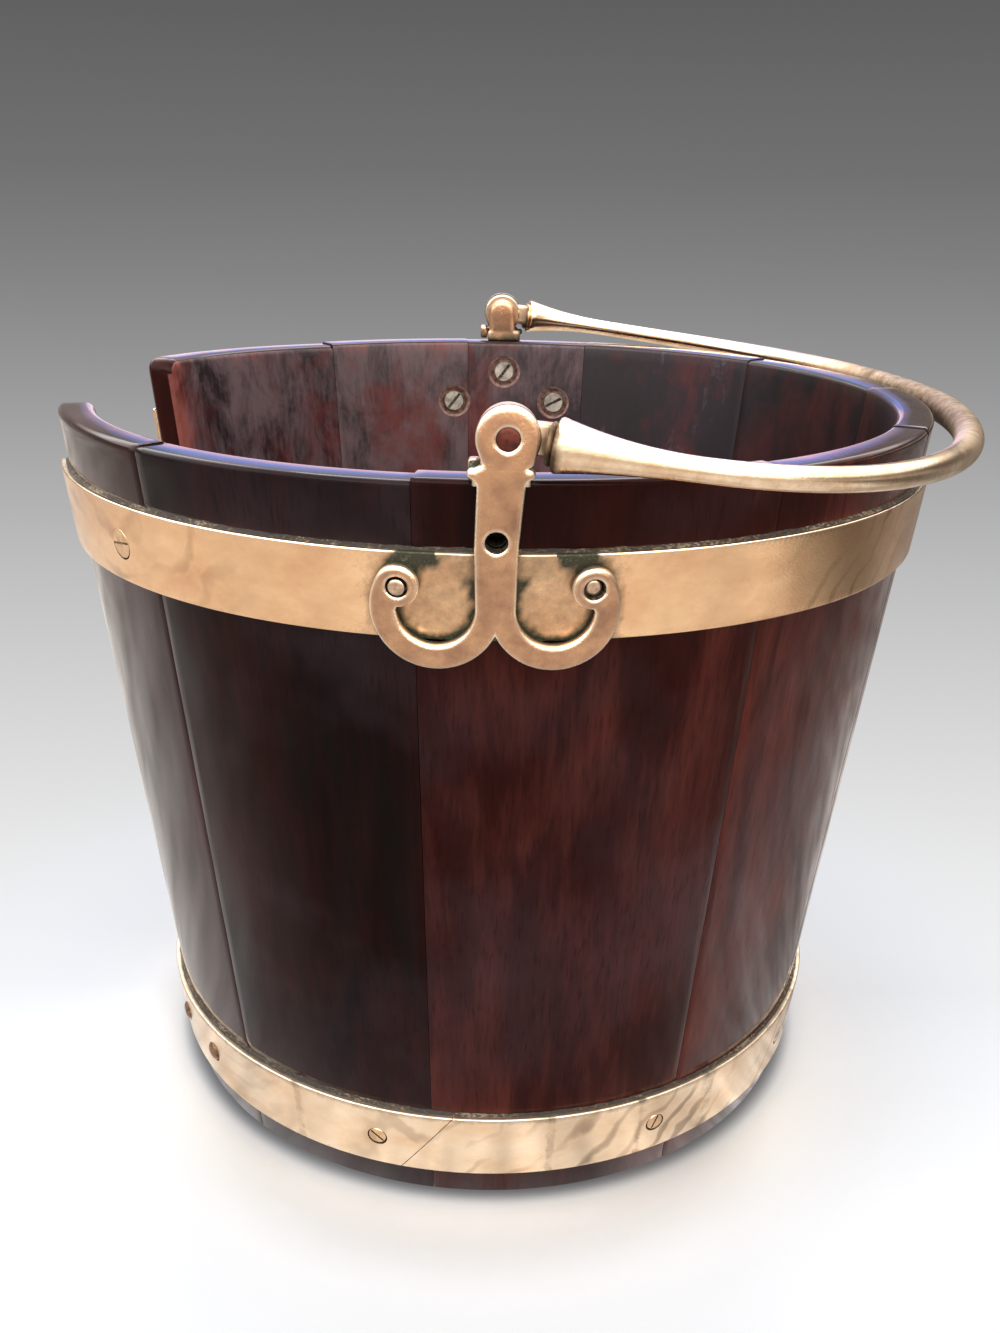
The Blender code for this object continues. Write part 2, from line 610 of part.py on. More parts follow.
def make_lug_bolts(brass, steel, frame, staves, lugs, upper_hoop):
    """Bolts from the lugs' faces to slotted nuts in recesses inside the wall."""
    wall_face = -(LUG_FACE - RIM_RADIUS) * math.cos(LEAN)
    inside = wall_face - WALL * math.cos(LEAN)
    recess_floor = inside + NUT_RECESS_DEPTH
    nut_top, nut_bottom = recess_floor - GAP, recess_floor - GAP - NUT_THICKNESS
    bore = BOLT_RADIUS + GAP
    nut_profile = [(bore, nut_top), (NUT_RADIUS, nut_top), (NUT_RADIUS, nut_bottom), (bore, nut_bottom)]
    nut_shape = slotted_mesh("lug_nut", nut_profile, nut_bottom, 2 * NUT_RADIUS, NUT_SLOT_WIDTH, True)
    hole_profile = [
        (0.0, LUG_THICKNESS),
        (BOLT_RING_RADIUS, LUG_THICKNESS),
        (BOLT_RING_RADIUS, -BOLT_RING_DEPTH),
        (bore, -BOLT_RING_DEPTH),
        (bore, recess_floor),
        (NUT_RECESS_RADIUS, recess_floor),
        (NUT_RECESS_RADIUS, inside - WALL / 2),
        (0.0, inside - WALL / 2),
    ]
    hole_shape = turned_mesh("lug_bolt_hole", hole_profile, FASTENER_SIDES)
    for side, (lug, middle) in lugs.items():
        for place, (aside, height) in bolt_places(side).items():
            stand = BOLT_STANDS[place]
            dome = BOLT_RADIUS / 4
            profile = [(0.0, stand), (BOLT_RADIUS - dome, stand), (BOLT_RADIUS, stand - dome),
                       (BOLT_RADIUS, nut_bottom + GAP), (0.0, nut_bottom + GAP)]
            bolt_name = f"{side}_lug_bolt_{place}"
            bolt = add_part(bolt_name, turned_mesh(bolt_name, profile, FASTENER_SIDES), brass, frame)
            nut = add_part(f"{side}_lug_nut_{place}", nut_shape, steel, frame)
            hole = add_cutter(f"{side}_lug_bolt_hole_{place}", hole_shape, frame)
            for obj in (bolt, nut, hole):
                place_on_wall(obj, middle + aside, height, LUG_FACE - RIM_RADIUS)
            combine(lug, hole, "DIFFERENCE")
            if height - 2 * bore < UPPER_HOOP_TOP:
                combine(upper_hoop, hole, "DIFFERENCE")
            for stave in near_staves(staves, middle + aside, NUT_RECESS_RADIUS, height):
                combine(stave, hole, "DIFFERENCE")


def bail_half():
    """Stations of the bail's half from the collar to the crown: (point, radius), in its own plane."""
    splay = math.radians(BAIL_SPLAY)
    eye, crown = Vector((0.0, EYE_PLANE, 0.0)), Vector((BAIL_REACH, 0.0, 0.0))
    leaving = eye + BAIL_EYE_PULL_RATIO * BAIL_REACH * Vector((math.cos(splay), math.sin(splay), 0.0))
    arriving = crown + Vector((0.0, BAIL_CROWN_PULL_RATIO * BAIL_REACH, 0.0))
    path = interpolate_bezier(eye, leaving, arriving, crown, 200)
    lengths = [0.0]
    for a, b in zip(path, path[1:]):
        lengths.append(lengths[-1] + (b - a).length)
    collar = (HEAD_RADIUS + GAP + COLLAR_RADIUS * math.sin(splay)) / math.cos(splay)
    lip = collar + COLLAR_LENGTH
    waist = lip + FLARE_LENGTH
    stations = [(collar, COLLAR_RADIUS), (lip, COLLAR_RADIUS), (lip + GAP, 0.94 * LIP_RADIUS)]
    flare_steps = 7
    for i in range(flare_steps):
        share = i / flare_steps
        radius = WAIST_RADIUS + (LIP_RADIUS - WAIST_RADIUS) * (1 - share) ** FLARE_POWER
        stations.append((lip + 4 * GAP + share * FLARE_LENGTH, radius))
    for i in range(BAIL_STATIONS + 1):
        share = i / BAIL_STATIONS
        swell = share * share * (3 - 2 * share)
        radius = WAIST_RADIUS + (GRIP_RADIUS - WAIST_RADIUS) * swell
        stations.append((waist + share * (lengths[-1] - waist), radius))
    half = []
    for length, radius in stations:
        index = next(i for i, reached in enumerate(lengths[1:]) if reached >= length - 0.0000001)
        share = (length - lengths[index]) / (lengths[index + 1] - lengths[index])
        point = path[index].lerp(path[index + 1], share)
        point.z = -BAIL_BOW * math.sin(math.pi * point.x / BAIL_REACH)
        half.append((point, radius))
    return half


def make_handle(brass, pivot):
    """Bail of swelling round section with collars, necks and eyes, bored for the pins."""
    half = bail_half()
    other = [(Vector((p.x, -p.y, p.z)), r) for p, r in reversed(half[:-1])]
    curve = bpy.data.curves.new("handle_bar", "CURVE")
    curve.dimensions = "3D"
    curve.bevel_depth = GRIP_RADIUS
    curve.bevel_resolution = 4
    curve.use_fill_caps = True
    spline = curve.splines.new("POLY")
    spline.points.add(len(half) + len(other) - 1)
    for point, (place, radius) in zip(spline.points, half + other):
        point.co = (*place, 1.0)
        point.radius = radius / GRIP_RADIUS
    handle = add_part("handle", baked_mesh(add_cutter("handle_curve", curve, None)), brass, pivot)
    for side in (-1, 1):
        eye = add_cutter(f"eye_{side}", cylinder_mesh("handle_eye", EYE_RADIUS, EYE_THICKNESS, 28), pivot)
        eye.location = (0.0, side * EYE_PLANE, 0.0)
        neck_end = (HEAD_RADIUS + COLLAR_LENGTH + COLLAR_RADIUS * math.sin(math.radians(BAIL_SPLAY)))
        low = (EYE_RADIUS / 2, -BAIL_NECK_HALF_WIDTH, -BAIL_NECK_HALF_HEIGHT)
        high = (neck_end, BAIL_NECK_HALF_WIDTH, BAIL_NECK_HALF_HEIGHT)
        neck = add_cutter(f"neck_{side}", box_mesh("handle_neck", low, high), pivot)
        neck.location = (0.0, side * EYE_PLANE, 0.0)
        bore_mesh = cylinder_mesh("handle_bore", PIN_RADIUS + GAP, 2 * EYE_THICKNESS, PIN_SIDES)
        bore = add_cutter(f"bore_{side}", bore_mesh, pivot)
        bore.location = (0.0, side * EYE_PLANE, 0.0)
        combine(handle, eye, "UNION")
        combine(handle, neck, "UNION")
        combine(handle, bore, "DIFFERENCE")
    return handle


def make_pins(copper, frame):
    """Pivot pins, flush with the lugs' faces and blind in their inner cheeks."""
    blind_end = INNER_CHEEK_FACE + CHEEK_THICKNESS - PIN_BLIND_DEPTH
    length = LUG_FACE - blind_end - 2 * GAP
    shape = cylinder_mesh("pivot_pin", PIN_RADIUS, length, PIN_SIDES)
    for name, side in (("front_pivot_pin", -1), ("back_pivot_pin", 1)):
        pin = add_part(name, shape, copper, frame)
        pin.location = (PIVOT_ASIDE, side * (LUG_FACE - GAP - length / 2), PIVOT_HEIGHT)


def main():
    """Build the whole bucket."""
    start_scene()
    wood = make_material("polished_mahogany", (0.20, 0.08, 0.07), 0.0, 0.25)
    brass = make_material("polished_brass", (0.79, 0.63, 0.42), 1.0, 0.3)
    aged_brass = make_material("aged_screw_brass", (0.62, 0.50, 0.34), 1.0, 0.4)
    steel = make_material("dull_nut_steel", (0.50, 0.47, 0.42), 1.0, 0.45)
    copper = make_material("copper_pin", (0.42, 0.20, 0.14), 1.0, 0.4)
    frame = add_empty("bucket_frame", (0.0, 0.0, -BASE_RECESS), (0.0, 0.0, 0.0), None)
    tilt = (0.0, math.radians(BAIL_REST_TILT), 0.0)
    pivot = add_empty("handle_pivot", (PIVOT_ASIDE, 0.0, PIVOT_HEIGHT), tilt, frame)

    staves = make_staves(wood, frame)
    make_base_board(wood, frame)
    hoops = make_hoops(brass, frame)
    lugs = {}
    for side, turn in (("front", 0.0), ("back", 180.0)):
        lug = add_part(f"{side}_lug", make_lug_mesh(side), brass, frame)
        lug.rotation_euler = (0.0, 0.0, math.radians(turn))
        lugs[side] = (lug, turn)
    make_hoop_screws(aged_brass, frame, staves, hoops)
    make_lug_bolts(brass, steel, frame, staves, lugs, hoops[0])
    make_pins(copper, frame)
    make_handle(brass, pivot)


main()
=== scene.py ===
"""Looks of a coopered mahogany plate bucket with brass hoops, cast lugs and a swinging bail.

Metres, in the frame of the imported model: +Z up, origin in the middle of the base board's underside.
Heights called above_foot are measured from the foot that the bucket stands on. An azimuth is in
degrees about +Z from the front (-Y), towards +X.
"""

import logging
import math
import random
from dataclasses import dataclass, field
from enum import Enum
from functools import partial
from typing import Callable, Sequence

import bmesh
import bpy
from bmesh.types import BMEdge, BMesh, BMVert
from bpy.types import Material, Node, NodeSocket, NodeTree, Object
from mathutils import Matrix, Vector, noise
from mathutils.geometry import interpolate_bezier


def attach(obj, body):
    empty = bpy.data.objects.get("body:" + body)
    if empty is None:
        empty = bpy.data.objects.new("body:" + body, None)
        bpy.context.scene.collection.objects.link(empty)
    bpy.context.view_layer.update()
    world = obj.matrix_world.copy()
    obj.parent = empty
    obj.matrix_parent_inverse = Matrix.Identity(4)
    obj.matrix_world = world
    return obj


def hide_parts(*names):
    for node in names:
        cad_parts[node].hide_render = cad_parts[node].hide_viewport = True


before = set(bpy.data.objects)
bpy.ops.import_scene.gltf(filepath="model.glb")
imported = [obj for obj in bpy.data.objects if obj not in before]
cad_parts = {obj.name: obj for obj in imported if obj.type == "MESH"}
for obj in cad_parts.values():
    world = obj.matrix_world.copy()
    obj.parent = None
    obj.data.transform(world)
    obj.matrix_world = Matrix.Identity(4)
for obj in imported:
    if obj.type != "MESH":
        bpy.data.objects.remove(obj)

LOG = logging.getLogger("plate_bucket")

# Sockets of the Mix node: share, the colours, and the plain numbers; and its settings for colours
MIX_SHARE, MIX_A, MIX_B, PLAIN_A, PLAIN_B = 0, 6, 7, 2, 3
COLOUR_MIX = {"out": 2, "data_type": "RGBA"}

# Names of the point attributes that the finishes read
GRAIN_SHIFT = "grain_shift"
# Tone of each stave, with painted shade in it
TONE_AND_SHADE = "tone"
WEAR = "wear"
# Real grime and tarnish, and painted shade and dark reflections on the hoops and the handle
GRIME_AND_SHADE = "grime"
# Rubbed edges, with a painted highlight
RUBBED_AND_HIGHLIGHT = "rubbed"
# Painted light and shade on the inside of each stave
PAINTED_INSIDE_LIGHT = "fade"

# How far the handle's hinge stands to the right of the bucket's middle
PIVOT_ASIDE = 0.0030

# Turn that lays a shape made about +Z down, so that its top faces the front
FACING_FRONT = Matrix.Rotation(math.pi / 2, 4, "X")

Point = tuple[float, float]
AddNode = Callable[..., NodeSocket]


class Body(Enum):
    """CAD bodies that pieces ride on."""

    BUCKET = "bucket"
    BAIL = "bail"


class Slot(Enum):
    """Material slots of the record."""

    WOOD = "mahogany"
    HOOPS = "hoop_brass"
    CASTINGS = "cast_brass"
    SCREWS = "screw_brass"
    NUTS = "nut_metal"
    PINS = "pin_copper"


class Side(Enum):
    """The two lugs, with the azimuth that each one stands at."""

    FRONT = 0.0
    BACK = 180.0

    @property
    def label(self) -> str:
        """Word for the side in the names of its nodes."""
        return self.name.lower()

    @property
    def outward_x(self) -> float:
        """Sign of the bucket's +X for someone who faces the lug from outside."""
        return 1.0 if self is Side.FRONT else -1.0

    @property
    def asides(self) -> tuple[float, float, float]:
        """Distance that the scrolls, the ears and the head stand towards +X."""
        return (0.0, 0.0011, PIVOT_ASIDE) if self is Side.FRONT else (0.0049, 0.0040, PIVOT_ASIDE)


def linear(hexes: str) -> tuple[float, float, float, float]:
    """Linear colour of an sRGB hex value.

    Args:
        hexes: Colour as #RRGGBB.

    Returns:
        Red, green, blue and alpha for a shader socket.
    """
    parts = [int(hexes[i : i + 2], 16) / 255 for i in (1, 3, 5)]
    turned = [c / 12.92 if c <= 0.04045 else ((c + 0.055) / 1.055) ** 2.4 for c in parts]
    return (*turned, 1.0)


def set_inputs(node: Node, inputs: dict) -> None:
    """Feed a node's inputs.

    Args:
        node: Node of a material or the world.
        inputs: Socket name or number, with a value, a hex colour or the socket that feeds it.
    """
    for key, value in inputs.items():
        if isinstance(value, NodeSocket):
            node.id_data.links.new(value, node.inputs[key])
        else:
            node.inputs[key].default_value = linear(value) if isinstance(value, str) else value


def add_node(
    tree: NodeTree, kind: str, inputs: dict | None = None, stops: Sequence = (), out: int | str = 0, **settings
) -> NodeSocket | None:
    """Add a node with its settings, values and links.

    Args:
        tree: Node tree of a material or the world.
        kind: Node type without its prefix.
        inputs: Socket name or number, with a value, a hex colour or the socket that feeds it.
        stops: Positions and hex colours of a colour ramp.
        out: Name or number of the output that is wanted.
        settings: Properties of the node.

    Returns:
        The wanted output, or None for a node without outputs.
    """
    node = tree.nodes.new(f"ShaderNode{kind}")
    for key, value in settings.items():
        setattr(node, key, value)
    set_inputs(node, inputs or {})
    for index, (position, colour) in enumerate(stops):
        if index >= len(node.color_ramp.elements):
            node.color_ramp.elements.new(position)
        node.color_ramp.elements[index].position = position
        node.color_ramp.elements[index].color = linear(colour)
    return node.outputs[out] if node.outputs else None


@dataclass(frozen=True)
class Wall:
    """Turned wall of the bucket, which leans out to the rim."""

    rim_radius: float = 0.180
    foot_radius: float = 0.14375
    height: float = 0.301
    thickness: float = 0.014
    foot_level: float = -0.012
    slot_azimuth: float = -93.5
    slot_angle: float = 36.0

    @property
    def lean(self) -> float:
        """Angle of the wall from upright, in radians."""
        return math.atan((self.rim_radius - self.foot_radius) / self.height)

    def outer(self, above_foot: float) -> float:
        """Radius of the wall's outside at a height."""
        return self.foot_radius + (self.rim_radius - self.foot_radius) * above_foot / self.height

    def inner(self, above_foot: float) -> float:
        """Radius of the wall's inside at a height."""
        return self.outer(above_foot) - self.thickness

    def rise(self, co: Vector) -> float:
        """Height of a point above the foot."""
        return co.z - self.foot_level

    def point(self, azimuth: float, radius: float, above_foot: float) -> Vector:
        """Point in the model's frame from an azimuth, a radius and a height above the foot."""
        turn = math.radians(azimuth)
        return Vector((radius * math.sin(turn), -radius * math.cos(turn), above_foot + self.foot_level))

    def stand(self, azimuth: float, above_foot: float, standoff: float) -> Matrix:
        """Place whose +Z points out along the wall's normal, off the wall's outside.

        Args:
            azimuth: Azimuth of the place.
            above_foot: Height of the place.
            standoff: Distance outside the wall.

        Returns:
            Matrix that moves a piece made about the origin to the place.
        """
        spot = self.point(azimuth, self.outer(above_foot) + standoff, above_foot)
        turn = Matrix.Rotation(math.radians(azimuth), 4, "Z") @ Matrix.Rotation(math.pi / 2 + self.lean, 4, "X")
        return Matrix.Translation(spot) @ turn


WALL = Wall()


@dataclass(frozen=True)
class LugShape:
    """Outline of a lug's plate, which leans a little to the bucket's +X."""

    scroll_out: float = 0.0188
    scroll_height: float = 0.2611
    scroll_radius: float = 0.0208
    band: float = 0.0083
    neck_foot: float = 0.3066
    neck_height: float = 0.3076

    def bends(self) -> list[float]:
        """Heights where the outline starts and stops leaning."""
        return [self.scroll_height + self.scroll_radius, WALL.height, self.neck_foot, self.neck_height]

    def aside(self, side: Side, above_foot: float) -> float:
        """Shift of the outline along x, for someone who faces the lug from outside.

        Args:
            side: Lug that is meant.
            above_foot: Height above the foot.

        Returns:
            Shift in metres.
        """
        foot, ear, head = side.asides
        shares = [
            min(max((above_foot - low) / (high - low), 0.0), 1.0)
            for low, high in zip(self.bends()[::2], self.bends()[1::2])
        ]
        return side.outward_x * (foot + (ear - foot) * shares[0] + (head - ear) * shares[1])

    def grime_and_shade_beside(self, co: Vector) -> float:
        """Grime on the hoop close round the scrolls of the nearer lug, and painted shade beside its stem.

        Args:
            co: Point in the model's frame.

        Returns:
            Grime, from 0 to 1.
        """
        side = Side.FRONT if co.y < 0 else Side.BACK
        x = abs(co.x - side.asides[0])
        height = WALL.rise(co) - self.scroll_height
        away = math.hypot(x - self.scroll_out, height)
        inside = self.scroll_radius - self.band
        outer_rim = 1.0 - smooth_step(0.0, 0.0022, away - self.scroll_radius)
        below = smooth_step(0.004, -0.008, height)
        hollow = smooth_step(-0.0015 - 0.0035 * below, 0.0, away - inside)
        near = outer_rim if away > inside else hollow
        # Painted shade in a narrow band beside the stem.
        stem_shade = 1.0 - smooth_step(0.0068, 0.0105, x)
        close = 1.0 - smooth_step(0.03, 0.05, x)
        over_bulb = smooth_step(0.010, 0.016, height)
        between = 0.5 if x < self.scroll_out and over_bulb > 0 else 1.0
        return close * max(0.6 * near * between, 0.40 * stem_shade, 0.22)


LUG = LugShape()


def azimuth_of(co: Vector) -> float:
    """Azimuth of a point in degrees, from -180 to 180."""
    return math.degrees(math.atan2(co.x, -co.y))


def turn_from(azimuth: float, co: Vector) -> float:
    """Degrees from an azimuth to a point, from -180 to 180."""
    return (azimuth_of(co) - azimuth + 180) % 360 - 180


def outward(co: Vector) -> Vector:
    """Direction from the bucket's axis to a point, without its height."""
    return Vector((co.x, co.y, 0.0)).normalized()


def smooth_step(low: float, high: float, value: float) -> float:
    """Share from 0 at low to 1 at high, with soft ends."""
    share = min(1.0, max(0.0, (value - low) / (high - low)))
    return share * share * (3 - 2 * share)


def spin(bm: BMesh, geom: list, degrees: float, steps: int, whole: bool) -> None:
    """Turn a section about Z and point the skin's faces outward.

    Args:
        bm: Mesh that holds the section.
        geom: Vertices, edges and faces of the section.
        degrees: Angle to turn.
        steps: Facets of the turn.
        whole: Whether the turn closes on itself.
    """
    angle = math.radians(degrees)
    bmesh.ops.spin(bm, geom=geom, axis=(0, 0, 1), cent=(0, 0, 0), angle=angle, steps=steps, use_merge=whole)
    if whole:
        bmesh.ops.remove_doubles(bm, verts=bm.verts, dist=1e-6)
    bmesh.ops.recalc_face_normals(bm, faces=bm.faces)


def ring_section(corners: list, start: float, sweep: float, step: float) -> BMesh:
    """Turn a section about the bucket's axis.

    Args:
        corners: Radius and height above the foot of each corner of the section.
        start: Azimuth of the first section.
        sweep: Degrees to turn; 360 makes a closed ring.
        step: Degrees of one facet.

    Returns:
        Mesh of the turned section.
    """
    bm = bmesh.new()
    face = bm.faces.new([bm.verts.new(WALL.point(start, radius, height)) for radius, height in corners])
    whole = sweep >= 360.0
    edges = face.edges[:]
    if whole:
        bmesh.ops.delete(bm, geom=[face], context="FACES_ONLY")
    spin(bm, bm.verts[:] + edges + bm.faces[:], sweep, max(2, round(sweep / step)), whole)
    return bm


def lathe(profile: list[Point], segments: int, place: Matrix | None = None) -> BMesh:
    """Turn a profile about Z, as on a lathe.

    Args:
        profile: Radius and height of each point, from one end to the other.
        segments: Facets round the axis.
        place: Matrix that moves the finished shape.

    Returns:
        Closed mesh.
    """
    bm = bmesh.new()
    verts = [bm.verts.new((radius, 0.0, height)) for radius, height in profile]
    edges = [bm.edges.new(pair) for pair in zip(verts, verts[1:])]
    spin(bm, verts + edges, 360.0, segments, True)
    if place is not None:
        bmesh.ops.transform(bm, matrix=place, verts=bm.verts)
    return bm


def rod(radius: float, first: float, last: float, segments: int, place: Matrix) -> BMesh:
    """Plain rod between two heights of its place, as a cutter for a hole."""
    return lathe([(0.0, first), (radius, first), (radius, last), (0.0, last)], segments, place)


def block(size: tuple[float, float, float], place: Matrix) -> BMesh:
    """Box of a size about the origin, moved to its place.

    Args:
        size: Lengths along x, y and z.
        place: Matrix that moves it to its place.

    Returns:
        Mesh of the box.
    """
    bm = bmesh.new()
    bmesh.ops.create_cube(bm, size=1.0)
    bmesh.ops.transform(bm, matrix=place @ Matrix.Diagonal((*size, 1)), verts=bm.verts)
    return bm


def round_edges(bm: BMesh, edges: list, offset: float, segments: int, clamp: bool = True) -> None:
    """Round edges of a mesh.

    Args:
        bm: Mesh to change.
        edges: Edges to round.
        offset: Width of the rounding on each side.
        segments: Facets across the rounding.
        clamp: Whether short edges hold the width back.
    """
    bmesh.ops.bevel(
        bm,
        geom=edges,
        offset=offset,
        offset_type="OFFSET",
        segments=segments,
        profile=0.5,
        affect="EDGES",
        clamp_overlap=clamp,
        material=-1,
    )


def is_sharp(edge: BMEdge, degrees: float = 50.0) -> bool:
    """Whether an edge turns by more than an angle."""
    return edge.calc_face_angle(0.0) > math.radians(degrees)


def sharp_edges(bm: BMesh) -> list[BMEdge]:
    """Closed edges of a mesh that turn sharply."""
    return [e for e in bm.edges if len(e.link_faces) == 2 and is_sharp(e)]


def slice_mesh(bm: BMesh, places: list[float], normal: tuple[float, float, float]) -> None:
    """Cut a mesh by parallel planes, so that it can bend or carry painted numbers.

    Args:
        bm: Mesh to cut.
        places: Distance of each plane from the origin.
        normal: Direction of the planes.
    """
    for place in places:
        geom = bm.verts[:] + bm.edges[:] + bm.faces[:]
        bmesh.ops.bisect_plane(bm, geom=geom, dist=1e-7, plane_co=place * Vector(normal), plane_no=normal)


def draw_arc(bm: BMesh, start: BMVert, centre: Point, degrees: float, steps: int) -> BMVert:
    """Draw an arc of edges in the front plane, from a vertex about a centre.

    Args:
        bm: Mesh to draw in.
        start: Vertex where the arc starts.
        centre: x and height above the foot of the centre.
        degrees: Angle, counted anticlockwise as seen from outside.
        steps: Edges of the arc.

    Returns:
        The arc's last vertex.
    """
    hub = (centre[0], 0.0, centre[1])
    spun = bmesh.ops.spin(bm, geom=[start], cent=hub, axis=(0, -1, 0), angle=math.radians(degrees), steps=steps)
    return next(v for v in spun["geom_last"] if isinstance(v, BMVert))


def draw_line(bm: BMesh, start: BMVert, end: Point) -> BMVert:
    """Draw an edge in the front plane from a vertex to a point.

    Args:
        bm: Mesh to change.
        start: Vertex where the edge starts.
        end: x and height above the foot where it ends.

    Returns:
        The edge's last vertex.
    """
    last = bmesh.ops.extrude_vert_indiv(bm, verts=[start])["verts"][0]
    last.co = (end[0], 0.0, end[1])
    return last


def polar(centre: Point, radius: float, degrees: float) -> Point:
    """Point at an angle on a circle in the front plane."""
    turn = math.radians(degrees)
    return centre[0] + radius * math.cos(turn), centre[1] + radius * math.sin(turn)


def thicken(bm: BMesh, depth: float) -> None:
    """Give the flat face of a mesh a thickness behind the front plane.

    Args:
        bm: Mesh to change.
        depth: Thickness to give.
    """
    body = bmesh.ops.extrude_face_region(bm, geom=bm.faces[:], use_keep_orig=True)
    back = [v for v in body["geom"] if isinstance(v, BMVert)]
    bmesh.ops.translate(bm, verts=back, vec=(0.0, depth, 0.0))
    bmesh.ops.recalc_face_normals(bm, faces=bm.faces)


def cut_slot(bm: BMesh, reach: float, width: float, depth: float, turn: float) -> None:
    """Saw a screwdriver slot into the flat top of a turned head, which is at z = 0.

    Args:
        bm: Head made about Z.
        reach: Half length of the slot.
        width: Width of the slot.
        depth: Depth of the slot.
        turn: Azimuth of the slot in the head's own plane, in degrees.
    """
    bmesh.ops.dissolve_limit(bm, angle_limit=0.01, verts=bm.verts, edges=bm.edges)
    across = Matrix.Rotation(math.radians(turn), 3, "Z")
    for direction, half in ((Vector((0, 1, 0)), width / 2), (Vector((1, 0, 0)), reach)):
        for sign in (-1, 1):
            normal = across @ direction
            flat = [f for f in bm.faces if all(abs(v.co.z) < 1e-6 for v in f.verts)]
            geom = flat + list({e for f in flat for e in f.edges}) + list({v for f in flat for v in f.verts})
            bmesh.ops.bisect_plane(bm, geom=geom, dist=1e-6, plane_co=sign * half * normal, plane_no=normal)
    floor = []
    for face in bm.faces:
        centre = across.inverted() @ face.calc_center_median()
        level = all(abs(v.co.z) < 1e-6 for v in face.verts)
        if level and abs(centre.x) < reach and abs(centre.y) < width / 2:
            floor.append(face)
            face.material_index = 1
    sunk = bmesh.ops.extrude_face_region(bm, geom=floor)
    verts = [v for v in sunk["geom"] if isinstance(v, BMVert)]
    bmesh.ops.translate(bm, verts=verts, vec=(0, 0, -depth))
    bmesh.ops.delete(bm, geom=[f for f in floor if f.is_valid], context="FACES_ONLY")


def smooth(mesh: bpy.types.Mesh, crease: float) -> None:
    """Shade a mesh smooth, but for edges that turn by more than the crease in degrees."""
    mesh.shade_smooth()
    mesh.set_sharp_from_angle(angle=math.radians(crease))


def make_object(name: str, bm: BMesh, materials: list[Material], crease: float = 35.0) -> Object:
    """Object of a finished mesh, smooth but for its sharp edges.

    Args:
        name: Name of the piece.
        bm: Mesh, which is used up.
        materials: Materials of the piece, by face index.
        crease: Edges sharper than this many degrees stay sharp.

    Returns:
        The new object at the origin.
    """
    mesh = bpy.data.meshes.new(name)
    bm.to_mesh(mesh)
    bm.free()
    for material in materials:
        mesh.materials.append(material)
    smooth(mesh, crease)
    piece = bpy.data.objects.new(name, mesh)
    bpy.context.scene.collection.objects.link(piece)
    return piece


def merge_shape(piece: Object, bm: BMesh, material: Material, operation: str, crease: float = 35.0) -> None:
    """Join a shape to a piece or cut it out.

    Args:
        piece: Piece to change.
        bm: Mesh of the shape, which is used up.
        material: Material of the shape's faces.
        operation: UNION or DIFFERENCE.
        crease: Edges sharper than this many degrees stay sharp.
    """
    tool = make_object("tool", bm, [material])
    modifier = piece.modifiers.new("work", "BOOLEAN")
    modifier.operation = operation
    modifier.solver = "EXACT"
    modifier.material_mode = "TRANSFER"
    modifier.object = tool
    depsgraph = bpy.context.evaluated_depsgraph_get()
    mesh = bpy.data.meshes.new_from_object(piece.evaluated_get(depsgraph), depsgraph=depsgraph)
    piece.modifiers.clear()
    piece.data = mesh
    bpy.data.objects.remove(tool)
    smooth(mesh, crease)


def paint(piece: Object, name: str, amount: Callable[[Vector], float]) -> None:
    """Give every point of a piece a number that its finish reads.

    Args:
        piece: Finished piece.
        name: Name of the attribute.
        amount: Number for a point in the model's frame.
    """
    attribute = piece.data.attributes.new(name, "FLOAT", "POINT")
    attribute.data.foreach_set("value", [amount(v.co) for v in piece.data.vertices])


def hand_in(piece: Object, body: Body, slot: Slot, *nodes: str) -> None:
    """Put a finished piece on its body in place of the CAD nodes that it stands for.

    Args:
        piece: Finished piece.
        body: Body that it rides on.
        slot: Record slot of its finish; not used.
        nodes: CAD nodes that it replaces.
    """
    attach(piece, body.value)
    if nodes:
        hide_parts(*nodes)
    LOG.info("%s: %d faces", piece.name, len(piece.data.polygons))


@dataclass(frozen=True)
class Finish:
    """A surface finish that makes one material."""

    name: str

    def make(self) -> Material:
        """Make the material and dress its nodes.

        Returns:
            The finished material.
        """
        material = bpy.data.materials.new(self.name)
        material.use_nodes = True
        tree = material.node_tree
        set_inputs(tree.nodes["Principled BSDF"], self.dress(partial(add_node, tree)))
        return material

    def dress(self, add: AddNode) -> dict:
        """Add the finish's own nodes; each finish has its own.

        Args:
            add: Call that adds a node to the material.

        Returns:
            Inputs of the material's shader.
        """
        raise NotImplementedError


